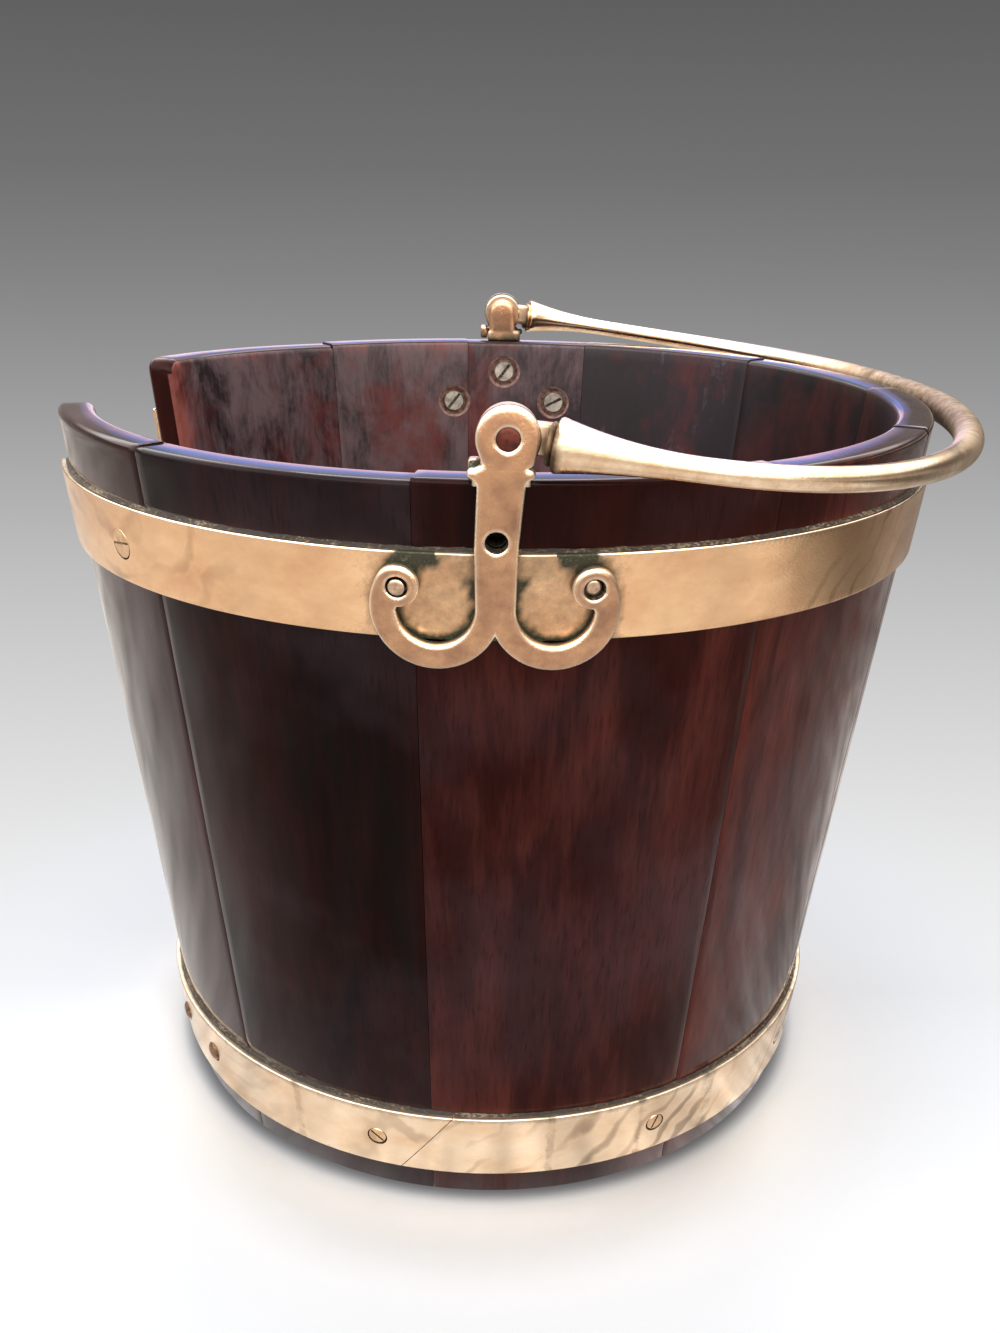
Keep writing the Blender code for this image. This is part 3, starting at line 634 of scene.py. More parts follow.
@dataclass(frozen=True)
class FrenchPolishedMahogany(Finish):
    """Old Cuban mahogany under shellac: nearly black-red, deep and wet-looking, grain upright."""

    dark: str = "#120806"
    middle: str = "#38130E"
    red: str = "#8A4438"
    bloom: str = "#6A5458"
    streak_width: float = 0.0032
    figure_width: float = 0.035
    pore_width: float = 0.0011

    def dress(self, add: AddNode) -> dict:
        """Upright streaks over a broad figure, each stave's own tone, fine pores and a shellac coat.

        Args:
            add: Call that adds a node to the material.

        Returns:
            Inputs of the material's shader.
        """
        coords = add("TexCoord", out="Object")
        shift = add("Attribute", out="Fac", attribute_name=GRAIN_SHIFT)
        # Each stave's tone, with painted shade in it above the upper hoop, beside the lugs and on the right of the rim.
        tone = add("Attribute", out="Fac", attribute_name=TONE_AND_SHADE)
        moved = add("VectorMath", {0: coords, 1: shift}, operation="ADD")
        upright = add("Mapping", {"Vector": moved, "Scale": (1, 1, 0.03)})
        broad = add("Mapping", {"Vector": moved, "Scale": (1, 1, 0.3)})
        width = self.streak_width
        streaks = add("TexNoise", {"Vector": upright, "Scale": 1 / width, "Detail": 6.0, "Roughness": 0.6})
        width = self.figure_width
        figure = add("TexNoise", {"Vector": broad, "Scale": 1 / width, "Detail": 2.0, "Distortion": 0.8})
        fine = add("Math", {0: streaks, 1: 0.4, 2: tone}, operation="MULTIPLY_ADD")
        grain = add("Math", {0: figure, 1: 0.9, 2: fine}, operation="MULTIPLY_ADD")
        depth = add("MapRange", {"Value": grain, "From Min": 0.64, "From Max": 1.72})
        colour = add("ValToRGB", {"Fac": depth}, [(0.0, self.dark), (0.45, self.middle), (1.0, self.red)])
        haze = add("TexNoise", {"Vector": moved, "Scale": 9.0, "Detail": 4.0, "Roughness": 0.55})
        hazy = add("MapRange", {"Value": haze, "From Min": 0.46, "From Max": 0.72, "To Max": 0.34})
        bloomed = add("Mix", {MIX_SHARE: hazy, MIX_A: colour, MIX_B: self.bloom}, **COLOUR_MIX)
        pores = add("TexNoise", {"Vector": upright, "Scale": 1 / self.pore_width, "Detail": 2.0})
        open_pores = add("MapRange", {"Value": pores, "From Min": 0.54, "From Max": 0.72, "To Max": 0.36})
        grained = add("Mix", {MIX_SHARE: open_pores, MIX_A: bloomed, MIX_B: self.dark}, **COLOUR_MIX)
        planed = add("TexNoise", {"Vector": broad, "Scale": 26.0, "Detail": 1.5})
        wavy = add("Bump", {"Height": planed, "Strength": 0.5, "Distance": 0.0014})
        bump = add("Bump", {"Height": pores, "Strength": 0.2, "Distance": 0.0002, "Normal": wavy})
        grazing = add("LayerWeight", {"Blend": 0.5}, out="Facing")
        gloss = add(
            "MapRange",
            {"Value": grazing, "From Min": 0.30, "From Max": 0.68, "To Min": 0.10, "To Max": 0.85},
            interpolation_type="SMOOTHSTEP",
        )
        return {
            "Base Color": grained,
            "Normal": bump,
            "Coat Normal": wavy,
            "Coat Weight": gloss,
            "Roughness": 0.5,
            "Specular IOR Level": 0.02,
            "Coat Roughness": 0.09,
            "Coat IOR": 1.45,
        }


@dataclass(frozen=True)
class WornMahogany(Finish):
    """Inside of the wall: shellac worn to a dull grey-brown, with red wood where plates rubbed."""

    grey: str = "#7A6466"
    deep: str = "#0A0506"
    dark: str = "#20151A"
    red: str = "#762F29"
    orange: str = "#C4634E"
    grain: tuple = (1.0, 1.0, 0.12)
    rubbing: tuple = (1.0, 1.0, 0.65)

    def dress(self, add: AddNode) -> dict:
        """Rubbed patches of grey, dark and red with painted light and shade per stave, fine upright scratches, and
        orange wear by the attribute.

        Args:
            add: Call that adds a node to the material.

        Returns:
            Inputs of the material's shader.
        """
        coords = add("TexCoord", out="Object")
        shift = add("Attribute", out="Fac", attribute_name=GRAIN_SHIFT)
        wear = add("Attribute", out="Fac", attribute_name=WEAR)
        moved = add("VectorMath", {0: coords, 1: shift}, operation="ADD")
        upright = add("Mapping", {"Vector": moved, "Scale": self.grain})
        patchy = add("Mapping", {"Vector": moved, "Scale": self.rubbing})
        fine = add("TexNoise", {"Vector": upright, "Scale": 420.0, "Detail": 4.0, "Roughness": 0.6})
        rubbed = {"Vector": patchy, "Scale": 42.0, "Detail": 7.0, "Roughness": 0.68, "Distortion": 0.4}
        patches = add("TexNoise", rubbed)
        warmth = add("TexNoise", {"Vector": patchy, "Scale": 26.0, "Detail": 6.0, "Roughness": 0.7})
        # Painted light and shade on the inside, per stave: it moves the patches lighter or darker and scales the red.
        fade = add("Attribute", out="Fac", attribute_name=PAINTED_INSIDE_LIGHT)
        paled = add("Math", {0: patches, 1: fade}, operation="ADD")
        mixed = add("Math", {0: fine, 1: 0.26, 2: paled}, operation="MULTIPLY_ADD")
        base = add("ValToRGB", {"Fac": mixed}, [(0.18, self.deep), (0.52, self.dark), (0.74, self.grey)])
        reddened = add("MapRange", {"Value": warmth, "From Min": 0.48, "From Max": 0.66, "To Max": 0.75})
        shown = add("Math", {0: fade, 1: 1.8, 2: 1.0}, operation="MULTIPLY_ADD")
        reddish = add("Math", {0: reddened, 1: shown}, operation="MULTIPLY")
        patched = add("Mix", {MIX_SHARE: reddish, MIX_A: base, MIX_B: self.red}, **COLOUR_MIX)
        ragged = add("Math", {0: mixed, 1: 0.8, 2: wear}, operation="MULTIPLY_ADD")
        worn = add("MapRange", {"Value": ragged, "From Min": 0.98, "From Max": 1.5})
        colour = add("Mix", {MIX_SHARE: worn, MIX_A: patched, MIX_B: self.orange}, **COLOUR_MIX)
        bump = add("Bump", {"Height": mixed, "Strength": 0.4, "Distance": 0.0003})
        return {"Base Color": colour, "Normal": bump, "Roughness": 0.42, "Specular IOR Level": 0.3}


@dataclass(frozen=True)
class BareWood(Finish):
    """Counterbore of a nut: pale scraped wood with chalky polish dried in it."""

    pale: str = "#B79A8C"
    pink: str = "#8A5A4C"

    def dress(self, add: AddNode) -> dict:
        """Mottle of pale chalk and scraped wood.

        Args:
            add: Call that adds a node to the material.

        Returns:
            Inputs of the material's shader.
        """
        coords = add("TexCoord", out="Object")
        mottle = add("TexNoise", {"Vector": coords, "Scale": 420.0, "Detail": 4.0})
        colour = add("ValToRGB", {"Fac": mottle}, [(0.38, self.pink), (0.6, self.pale)])
        bump = add("Bump", {"Height": mottle, "Strength": 0.5, "Distance": 0.0003})
        return {"Base Color": colour, "Normal": bump, "Roughness": 0.8}


@dataclass(frozen=True)
class AgedBrass(Finish):
    """Brass worn by two centuries of polish: soft warm mirror, brown in its skin, green in its hollows."""

    bright: str = "#F0C193"
    dull: str = "#C08A62"
    # Colour of rubbed edges and of their painted highlight
    edge: str = "#FBE6CB"
    brown: str = "#6B4E36"
    olive: str = "#3C3A27"
    black: str = "#15140F"
    verdigris: str = "#8FA58A"
    rough_low: float = 0.13
    rough_high: float = 0.26
    mottle_width: float = 0.012
    pit_depth: float = 0.0001
    wave_depth: float = 0.0006
    drawn: float = 1.0
    specks: float = 0.12
    soft_edge: float = 0.0
    ragged: float = 0.8
    crust_metal: float = 0.3
    # Strength of the painted reflection streaks on a strip, and where along x they show
    figure: float = 0.0
    reflection_span: tuple = (-0.06, 0.01)
    reflection_rest: float = 0.25
    both_ends: bool = False

    def dress(self, add: AddNode) -> dict:
        """Mottled skin, rubbed edges with a painted highlight, tarnish and painted shade by the grime attribute, and a
        slightly uneven surface.

        Args:
            add: Call that adds a node to the material.

        Returns:
            Inputs of the material's shader.
        """
        coords = add("TexCoord", out="Object")
        # The grime attribute holds real tarnish and also painted shade and dark reflections.
        grime = add("Attribute", out="Fac", attribute_name=GRIME_AND_SHADE)
        rub_and_highlight = add("Attribute", out="Fac", attribute_name=RUBBED_AND_HIGHLIGHT)
        drawn = add("Mapping", {"Vector": coords, "Scale": (1, 1, self.drawn)})
        width = self.mottle_width
        mottle = add("TexNoise", {"Vector": drawn, "Scale": 1 / width, "Detail": 6.0, "Roughness": 0.6})
        fine = add("TexNoise", {"Vector": drawn, "Scale": 1100.0, "Detail": 3.0, "Roughness": 0.65})
        skin = add("ValToRGB", {"Fac": mottle}, [(0.30, self.dull), (0.64, self.bright)])
        rounding = {}
        if self.soft_edge > 0:
            rounding["Normal"] = add("Bevel", {"Radius": self.soft_edge}, samples=8)
            flat_normal = add("NewGeometry", out="Normal")
            normals = {0: rounding["Normal"], 1: flat_normal}
            agree = add("VectorMath", normals, out="Value", operation="DOT_PRODUCT")
            # Painted highlight and wear: lighter where the rounded shading normal turns from the flat one near an edge.
            edge_wear_and_highlight = add("MapRange", {"Value": agree, "From Min": 0.998, "From Max": 0.92, "To Max": 0.7})
            rub_and_highlight = add("Math", {0: rub_and_highlight, 1: edge_wear_and_highlight}, operation="MAXIMUM")
        rubbed = add("Mix", {MIX_SHARE: rub_and_highlight, MIX_A: skin, MIX_B: self.edge}, **COLOUR_MIX)
        specks = add("MapRange", {"Value": fine, "From Min": 0.60, "From Max": 0.76, "To Max": self.specks})
        speckled = add("Mix", {MIX_SHARE: specks, MIX_A: rubbed, MIX_B: self.brown}, **COLOUR_MIX)
        if self.figure > 0:
            speckled = self.add_painted_reflections(add, coords, speckled)
        patches = add("TexNoise", {"Vector": coords, "Scale": 240.0, "Detail": 5.0, "Roughness": 0.7})
        wandering = add("Math", {0: patches, 1: 0.5}, operation="SUBTRACT")
        edge = add("Math", {0: wandering, 1: self.ragged, 2: grime}, operation="MULTIPLY_ADD")
        depth = add("MapRange", {"Value": edge, "From Min": 0.1, "From Max": 0.9})
        crust = add("ValToRGB", {"Fac": depth}, [(0.0, self.brown), (0.42, self.olive), (1.0, self.black)])
        chalky = add("Math", {0: fine, 1: depth}, operation="MULTIPLY")
        chalked = add("MapRange", {"Value": chalky, "From Min": 0.34, "From Max": 0.56, "To Max": 0.7})
        tarnish = add("Mix", {MIX_SHARE: chalked, MIX_A: crust, MIX_B: self.verdigris}, **COLOUR_MIX)
        amount = add("MapRange", {"Value": edge, "From Min": 0.08, "From Max": 0.55})
        colour = add("Mix", {MIX_SHARE: amount, MIX_A: speckled, MIX_B: tarnish}, **COLOUR_MIX)
        metal = add("MapRange", {"Value": amount, "To Min": 1.0, "To Max": self.crust_metal})
        sheen = {"Value": mottle, "From Min": 0.3, "From Max": 0.7, "To Min": self.rough_high, "To Max": self.rough_low}
        rough = add("Math", {0: amount, 1: 0.4, 2: add("MapRange", sheen)}, operation="MULTIPLY_ADD")
        waves = add("TexNoise", {"Vector": coords, "Scale": 38.0, "Detail": 1.5})
        wavy = add("Bump", {"Height": waves, "Strength": 1.0, "Distance": self.wave_depth, **rounding})
        bump = add("Bump", {"Height": fine, "Strength": 0.5, "Distance": self.pit_depth, "Normal": wavy})
        return {"Base Color": colour, "Metallic": metal, "Roughness": rough, "Normal": bump}

    def add_painted_reflections(self, add: AddNode, coords: NodeSocket, skin: NodeSocket) -> NodeSocket:
        """Paint slanting brown streaks over the strip, as painted reflections of a streaked floor.

        Args:
            add: Call that adds a node to the material.
            coords: Socket of the place on the piece.
            skin: Colour socket of the metal without them.

        Returns:
            Colour socket.
        """
        slanted = add("Mapping", {"Vector": coords, "Scale": (2.0, 1.4, -1.8)})
        grain = {"Vector": slanted, "Scale": 15.0, "Distortion": 16.0, "Detail": 4.0, "Detail Scale": 0.55}
        bands = add("TexWave", grain, out="Fac", bands_direction="DIAGONAL")
        patchy = add("TexNoise", {"Vector": slanted, "Scale": 14.0, "Detail": 2.0})
        broken = add("Math", {0: bands, 1: patchy}, operation="MULTIPLY")
        lines = add("MapRange", {"Value": broken, "From Min": 0.40, "From Max": 0.62, "To Max": self.figure})
        x = add("SeparateXYZ", {0: coords}, out="X")
        if self.both_ends:
            x = add("Math", {0: x}, operation="ABSOLUTE")
        low, high = self.reflection_span
        where = add("MapRange", {"Value": x, "From Min": low, "From Max": high, "To Min": self.reflection_rest})
        amount = add("Math", {0: lines, 1: where}, operation="MULTIPLY")
        return add("Mix", {MIX_SHARE: amount, MIX_A: skin, MIX_B: self.brown}, **COLOUR_MIX)


@dataclass(frozen=True)
class DullMetal(Finish):
    """Small fasteners that nobody polishes: a flat skin of oxide, lighter where a driver rubbed."""

    light: str = "#8A857C"
    dark: str = "#3C3833"
    metallic: float = 0.8
    roughness: float = 0.5
    mottle_width: float = 0.0016

    def dress(self, add: AddNode) -> dict:
        """Fine mottle of two tones with a little relief.

        Args:
            add: Call that adds a node to the material.

        Returns:
            Inputs of the material's shader.
        """
        coords = add("TexCoord", out="Object")
        width = self.mottle_width
        mottle = add("TexNoise", {"Vector": coords, "Scale": 1 / width, "Detail": 5.0, "Roughness": 0.6})
        colour = add("ValToRGB", {"Fac": mottle}, [(0.34, self.dark), (0.64, self.light)])
        bump = add("Bump", {"Height": mottle, "Strength": 0.5, "Distance": 0.00015})
        return {"Base Color": colour, "Normal": bump, "Metallic": self.metallic, "Roughness": self.roughness}


@dataclass(frozen=True)
class DriedPolish(Finish):
    """Grime and dried metal polish packed along a hoop's edge: near black with chalky flecks."""

    black: str = "#19130F"
    olive: str = "#463B2D"
    chalk: str = "#A99D86"

    def dress(self, add: AddNode) -> dict:
        """Dark matrix with sparse pale flecks drawn out along the hoop.

        Args:
            add: Call that adds a node to the material.

        Returns:
            Inputs of the material's shader.
        """
        coords = add("TexCoord", out="Object")
        flat = add("Mapping", {"Vector": coords, "Scale": (1, 1, 2.5)})
        flecks = add("TexNoise", {"Vector": flat, "Scale": 620.0, "Detail": 6.0, "Roughness": 0.7})
        patches = add("TexNoise", {"Vector": coords, "Scale": 45.0, "Detail": 2.0})
        mixed = add("Math", {0: patches, 1: 0.55, 2: flecks}, operation="MULTIPLY_ADD")
        colour = add("ValToRGB", {"Fac": mixed}, [(0.68, self.black), (0.82, self.olive), (0.93, self.chalk)])
        bump = add("Bump", {"Height": flecks, "Strength": 0.8, "Distance": 0.0004})
        return {"Base Color": colour, "Normal": bump, "Roughness": 0.75}


POLISHED = FrenchPolishedMahogany("french_polished_mahogany")
WORN = WornMahogany("rubbed_mahogany")
BOARD = WornMahogany(
    "dry_base_board",
    grey="#5E4A48",
    dark="#2C1C1C",
    red="#4A2421",
    grain=(1.0, 0.05, 1.0),
    rubbing=(1.0, 0.22, 1.0),
)
# figure sets the strength of the hoops' painted reflection streaks
STRIP = {"drawn": 1.6, "mottle_width": 0.03, "specks": 0.06, "ragged": 0.45, "figure": 0.55}
REFLECTIONS_AT_ENDS = {"reflection_span": (0.08, 0.14), "reflection_rest": 0.1, "both_ends": True}
UPPER_STRIP = AgedBrass("rolled_brass_strip", bright="#F4CBA0", dull="#DDAC84", **REFLECTIONS_AT_ENDS, **STRIP)
# Lighter copy of the hoop brass: the lower hoop is painted brighter for the bright floor that it mirrors.
LOWER_STRIP_PAINTED_BRIGHTER = AgedBrass("brass_strip_painted_brighter", bright="#FDE6C8", dull="#EBC8A2", **STRIP)
CASTING = AgedBrass(
    "sand_cast_brass",
    bright="#CFA27E",
    dull="#9A745E",
    mottle_width=0.009,
    soft_edge=0.0024,
    rough_low=0.22,
    rough_high=0.36,
    pit_depth=0.0002,
    wave_depth=0.0003,
    specks=0.3,
)
GRIP = AgedBrass(
    "hand_worn_brass",
    bright="#F6DDC0",
    dull="#D6B28E",
    # Dark olive that also paints the crown's dark reflection
    olive="#594530",
    wave_depth=0.00006,
    ragged=0.35,
    crust_metal=0.8,
)
SCREW = AgedBrass("filed_screw_brass", bright="#EDC79E", dull="#C99E75", mottle_width=0.004)
BOLT = DullMetal("brass_rod_end", light="#D9BDA2", dark="#A08672", metallic=0.95, roughness=0.3)
NUT = DullMetal("dull_nut_metal", light="#A39C92", dark="#6F6962", mottle_width=0.004, roughness=0.4)
STUD = DullMetal("tarnished_stud", light="#A5805F", dark="#4E3C2F", mottle_width=0.003, roughness=0.35)
PIN = DullMetal("oxidised_copper", light="#6B3224", dark="#3A1712", metallic=0.6, roughness=0.5)


@dataclass
class Finishes:
    """All materials of the object, made once."""

    polished: Material = field(default_factory=POLISHED.make)
    worn: Material = field(default_factory=WORN.make)
    board: Material = field(default_factory=BOARD.make)
    bare: Material = field(default_factory=BareWood("scraped_wood_and_chalk").make)
    upper_hoop: Material = field(default_factory=UPPER_STRIP.make)
    lower_hoop: Material = field(default_factory=LOWER_STRIP_PAINTED_BRIGHTER.make)
    casting: Material = field(default_factory=CASTING.make)
    handle: Material = field(default_factory=GRIP.make)
    screw: Material = field(default_factory=SCREW.make)
    bolt: Material = field(default_factory=BOLT.make)
    nut: Material = field(default_factory=NUT.make)
    stud: Material = field(default_factory=STUD.make)
    pin: Material = field(default_factory=PIN.make)
    residue: Material = field(default_factory=DriedPolish("dried_polish_and_grime").make)


@dataclass(frozen=True)
class Stave:
    """One board of the wall, between two azimuths, with the tone of its outside and the painted light and shade of its
    inside.
    """

    name: str
    start: float
    end: float
    top: float
    tone: float
    fade: float = 0.0
    slot_ends: tuple[bool, bool] = (False, False)

    def near(self, azimuth: float, margin: float) -> bool:
        """Whether an azimuth lies on the board or within a margin beside it."""
        return any(self.start - margin < azimuth + turn < self.end + margin for turn in (-360.0, 0.0, 360.0))


@dataclass
class StaveWall:
    """Ten staves and the sill that closes the foot of the slot."""

    finishes: Finishes
    widths: tuple = (33.0, 34.0, 39.5, 33.0, 33.0, 33.0, 33.3, 22.1, 26.1, 37.0)
    tones: tuple = (0.30, 0.12, 0.52, 0.62, 0.66, 0.45, 0.40, 0.50, 0.35, 0.45)
    # Painted light and shade on each stave's inside: lighter where it faces the light, darker where it turns away.
    painted_lights: tuple = (0.0, 0.0, -0.1, -0.24, -0.40, -0.36, -0.19, -0.05, 0.04, 0.0)
    rises: tuple = (0.0, -0.0004, 0.0007, 0.0, 0.0003, -0.0002, 0.0003, 0.0, 0.0004, -0.0003)
    sill: float = 0.046
    sill_tone: float = 0.3
    rim_round: float = 0.0022
    slot_round: float = 0.0032
    corner_round: float = 0.0065
    slot_rise: float = 0.0024
    seam_round: float = 0.00016
    seam_gap: float = 0.0001
    facet: float = 1.25
    crease: float = 40.0
    recess_radius: float = 0.0075
    recess_lip: float = 0.0011
    recess_depth: float = 0.0036
    recess_margin: float = 3.5
    bore_radius: float = 0.0034
    bore_ends: tuple = (0.004, -0.008)
    grain_spread: float = 2.0

    def staves(self) -> list[Stave]:
        """Full staves, from the near edge of the slot round to its far edge, and the sill.

        Returns:
            The eleven boards.
        """
        scale = (360.0 - WALL.slot_angle) / sum(self.widths)
        last = len(self.widths)
        start = WALL.slot_azimuth + WALL.slot_angle / 2
        found = []
        for number, (width, rise, tone, fade) in enumerate(zip(self.widths, self.rises, self.tones, self.painted_lights), 1):
            end = start + width * scale
            ends = (number == 1, number == last)
            found.append(Stave(f"stave_{number:02d}", start, end, WALL.height + rise, tone, fade, ends))
            start = end
        low = WALL.slot_azimuth - WALL.slot_angle / 2
        return found + [Stave("slot_sill_stave", low, low + WALL.slot_angle, self.sill, self.sill_tone)]

    def make(self) -> None:
        """Build, dress and hand in the staves and the sill."""
        for stave in self.staves():
            bm = self.board(stave)
            self.shape(bm, stave)
            if stave.slot_ends[1]:
                self.lift_end(bm, stave)
            self.finish(bm, stave)

    def board(self, stave: Stave) -> BMesh:
        """Plain segment of the wall for a stave, with square edges.

        Args:
            stave: Measures of the stave.

        Returns:
            Mesh of the segment.
        """
        gap = math.degrees(self.seam_gap / WALL.inner(0.0))
        top = stave.top
        corners = [(WALL.outer(0.0), 0.0), (WALL.outer(top), top), (WALL.inner(top), top), (WALL.inner(0.0), 0.0)]
        return ring_section(corners, stave.start + gap / 2, stave.end - stave.start - gap, self.facet)

    def shape(self, bm: BMesh, stave: Stave) -> None:
        """Round a stave's slot ends, rim, foot and seams.

        Args:
            bm: Stave with square edges.
            stave: Its measures.
        """
        ends = (stave.start, stave.end)

        def at_end(edge: BMEdge, azimuth: float) -> bool:
            """Whether an edge lies in the end plane at an azimuth."""
            return all(abs(turn_from(azimuth, v.co)) < 0.3 for v in edge.verts)

        def above(edge: BMEdge, above_foot: float) -> bool:
            """Whether an edge lies wholly above a height."""
            return min(v.co.z for v in edge.verts) > above_foot + WALL.foot_level - 1e-5

        if any(stave.slot_ends):
            slice_mesh(bm, [self.sill + WALL.foot_level], (0, 0, 1))
        for azimuth in [azimuth for borders, azimuth in zip(stave.slot_ends, ends) if borders]:
            self.clear_facets(bm, azimuth)
            corner = [e for e in bm.edges if at_end(e, azimuth) and above(e, stave.top)]
            round_edges(bm, corner, self.corner_round, 6, clamp=False)
        seam_ends = [azimuth for borders, azimuth in zip(stave.slot_ends, ends) if not borders]
        rim = []
        for edge in bm.edges:
            if above(edge, self.sill) and not any(at_end(edge, azimuth) for azimuth in seam_ends) and is_sharp(edge):
                rim.append(edge)
        round_edges(bm, rim, self.slot_round if any(stave.slot_ends) else self.rim_round, 5, clamp=False)
        round_edges(bm, sharp_edges(bm), self.seam_round, 2)

    def clear_facets(self, bm: BMesh, azimuth: float) -> None:
        """Dissolve the facet lines close beside the slot, so that its corner can be rounded.

        Args:
            bm: Stave with square edges.
            azimuth: Azimuth of the slot's edge.
        """
        lines = []
        for edge in bm.edges:
            first, second = (abs(turn_from(azimuth, vert.co)) for vert in edge.verts)
            if abs(first - second) < 0.1 and 0.3 < first < 3.2:
                lines.append(edge)
        bmesh.ops.dissolve_edges(bm, edges=lines, use_verts=True)

    def lift_end(self, bm: BMesh, stave: Stave) -> None:
        """Raise the last stave's top towards the slot, where it was cut a little high.

        Args:
            bm: Shaped stave.
            stave: Measures of the stave.
        """
        for vert in bm.verts:
            along = turn_from(stave.start, vert.co) / (stave.end - stave.start)
            share = WALL.rise(vert.co) / WALL.height
            vert.co.z += self.slot_rise * max(along, 0.0) * max(share, 0.0) ** 4

    def finish(self, bm: BMesh, stave: Stave) -> None:
        """Polish the outside, leave the inside rubbed, sink the nuts and hand the stave in.

        Args:
            bm: Shaped stave.
            stave: Its measures, tone and the painted light of its inside.
        """
        rows = [0.012 * row for row in range(3, 24)] + [0.282, 0.286, 0.290, 0.294]
        slice_mesh(bm, [row + WALL.foot_level for row in rows if row < min(stave.top, WALL.height)], (0, 0, 1))
        for face in bm.faces:
            centre = face.calc_center_median()
            beside_slot = self.wear_at(centre) > 0.6 and WALL.rise(centre) < WALL.height - 0.004
            face.material_index = 1 if face.normal.dot(-outward(centre)) > (0.3 if beside_slot else 0.8) else 0
        skins = self.finishes
        piece = make_object(f"{stave.name}_polished", bm, [skins.polished, skins.worn], self.crease)
        for azimuth, height in LugFasteners.places():
            if stave.near(azimuth, self.recess_margin):
                place = WALL.stand(azimuth, height, 0.0)
                merge_shape(piece, self.recess(place), skins.bare, "DIFFERENCE", self.crease)
                if height == LugFasteners.TOP_HEIGHT and stave.start < azimuth < stave.end:
                    bore = rod(self.bore_radius, *self.bore_ends, 32, place)
                    merge_shape(piece, bore, skins.residue, "DIFFERENCE", self.crease)
        shift = random.uniform(-self.grain_spread, self.grain_spread)
        paint(piece, GRAIN_SHIFT, lambda co: shift)
        paint(piece, TONE_AND_SHADE, lambda co: self.tone_and_shade_at(co, stave.tone))
        paint(piece, PAINTED_INSIDE_LIGHT, lambda co: stave.fade)
        paint(piece, WEAR, self.wear_at)
        hand_in(piece, Body.BUCKET, Slot.WOOD, stave.name)

    def recess(self, place: Matrix) -> BMesh:
        """Cutter of a nut's counterbore with its scraped lip.

        Args:
            place: Matrix that moves it to its place.

        Returns:
            Mesh of the cutter.
        """
        inside = -WALL.thickness * math.cos(WALL.lean)
        profile = [
            (0.0, inside + self.recess_depth),
            (self.recess_radius, inside + self.recess_depth),
            (self.recess_radius, inside + self.recess_lip),
            (self.recess_radius + 2 * self.recess_lip, inside - self.recess_lip),
            (0.0, inside - self.recess_lip),
        ]
        return lathe(profile, 40, place)

    def tone_and_shade_at(self, co: Vector, tone: float) -> float:
        """Redness of the outside, darkened by painted shade: less over the upper hoop and beside a lug's stem, least on
        the rim at the right.

        Args:
            co: Point in the model's frame.
            tone: Redness of the whole stave, from 0 to 1.

        Returns:
            Redness, from 0 to 1.
        """
        # Painted shade: darker above the upper hoop, beside the lugs' stems and on the rim at the right.
        over_hoop = smooth_step(0.268, 0.284, WALL.rise(co))
        beside_lug = 1.0 - smooth_step(0.014, 0.042, abs(co.x - PIVOT_ASIDE))
        on_rim = smooth_step(0.2965, 0.2995, WALL.rise(co))
        at_right = smooth_step(0.105, 0.150, co.x)
        return tone - over_hoop * (0.10 + 0.30 * beside_lug) - 0.35 * on_rim * at_right

    def wear_at(self, co: Vector) -> float:
        """Orange wear on the inside, by the slot's edges and under the rim.

        Args:
            co: Point in the model's frame.

        Returns:
            Wear, from 0 to 1.
        """
        edges = [WALL.slot_azimuth + sign * WALL.slot_angle / 2 for sign in (-1, 1)]
        beside_slot = 1.0 - smooth_step(2.6, 5.2, min(abs(turn_from(edge, co)) for edge in edges))
        under_rim = smooth_step(0.284, 0.298, WALL.rise(co))
        return max(0.75 * beside_slot, 0.45 * under_rim)


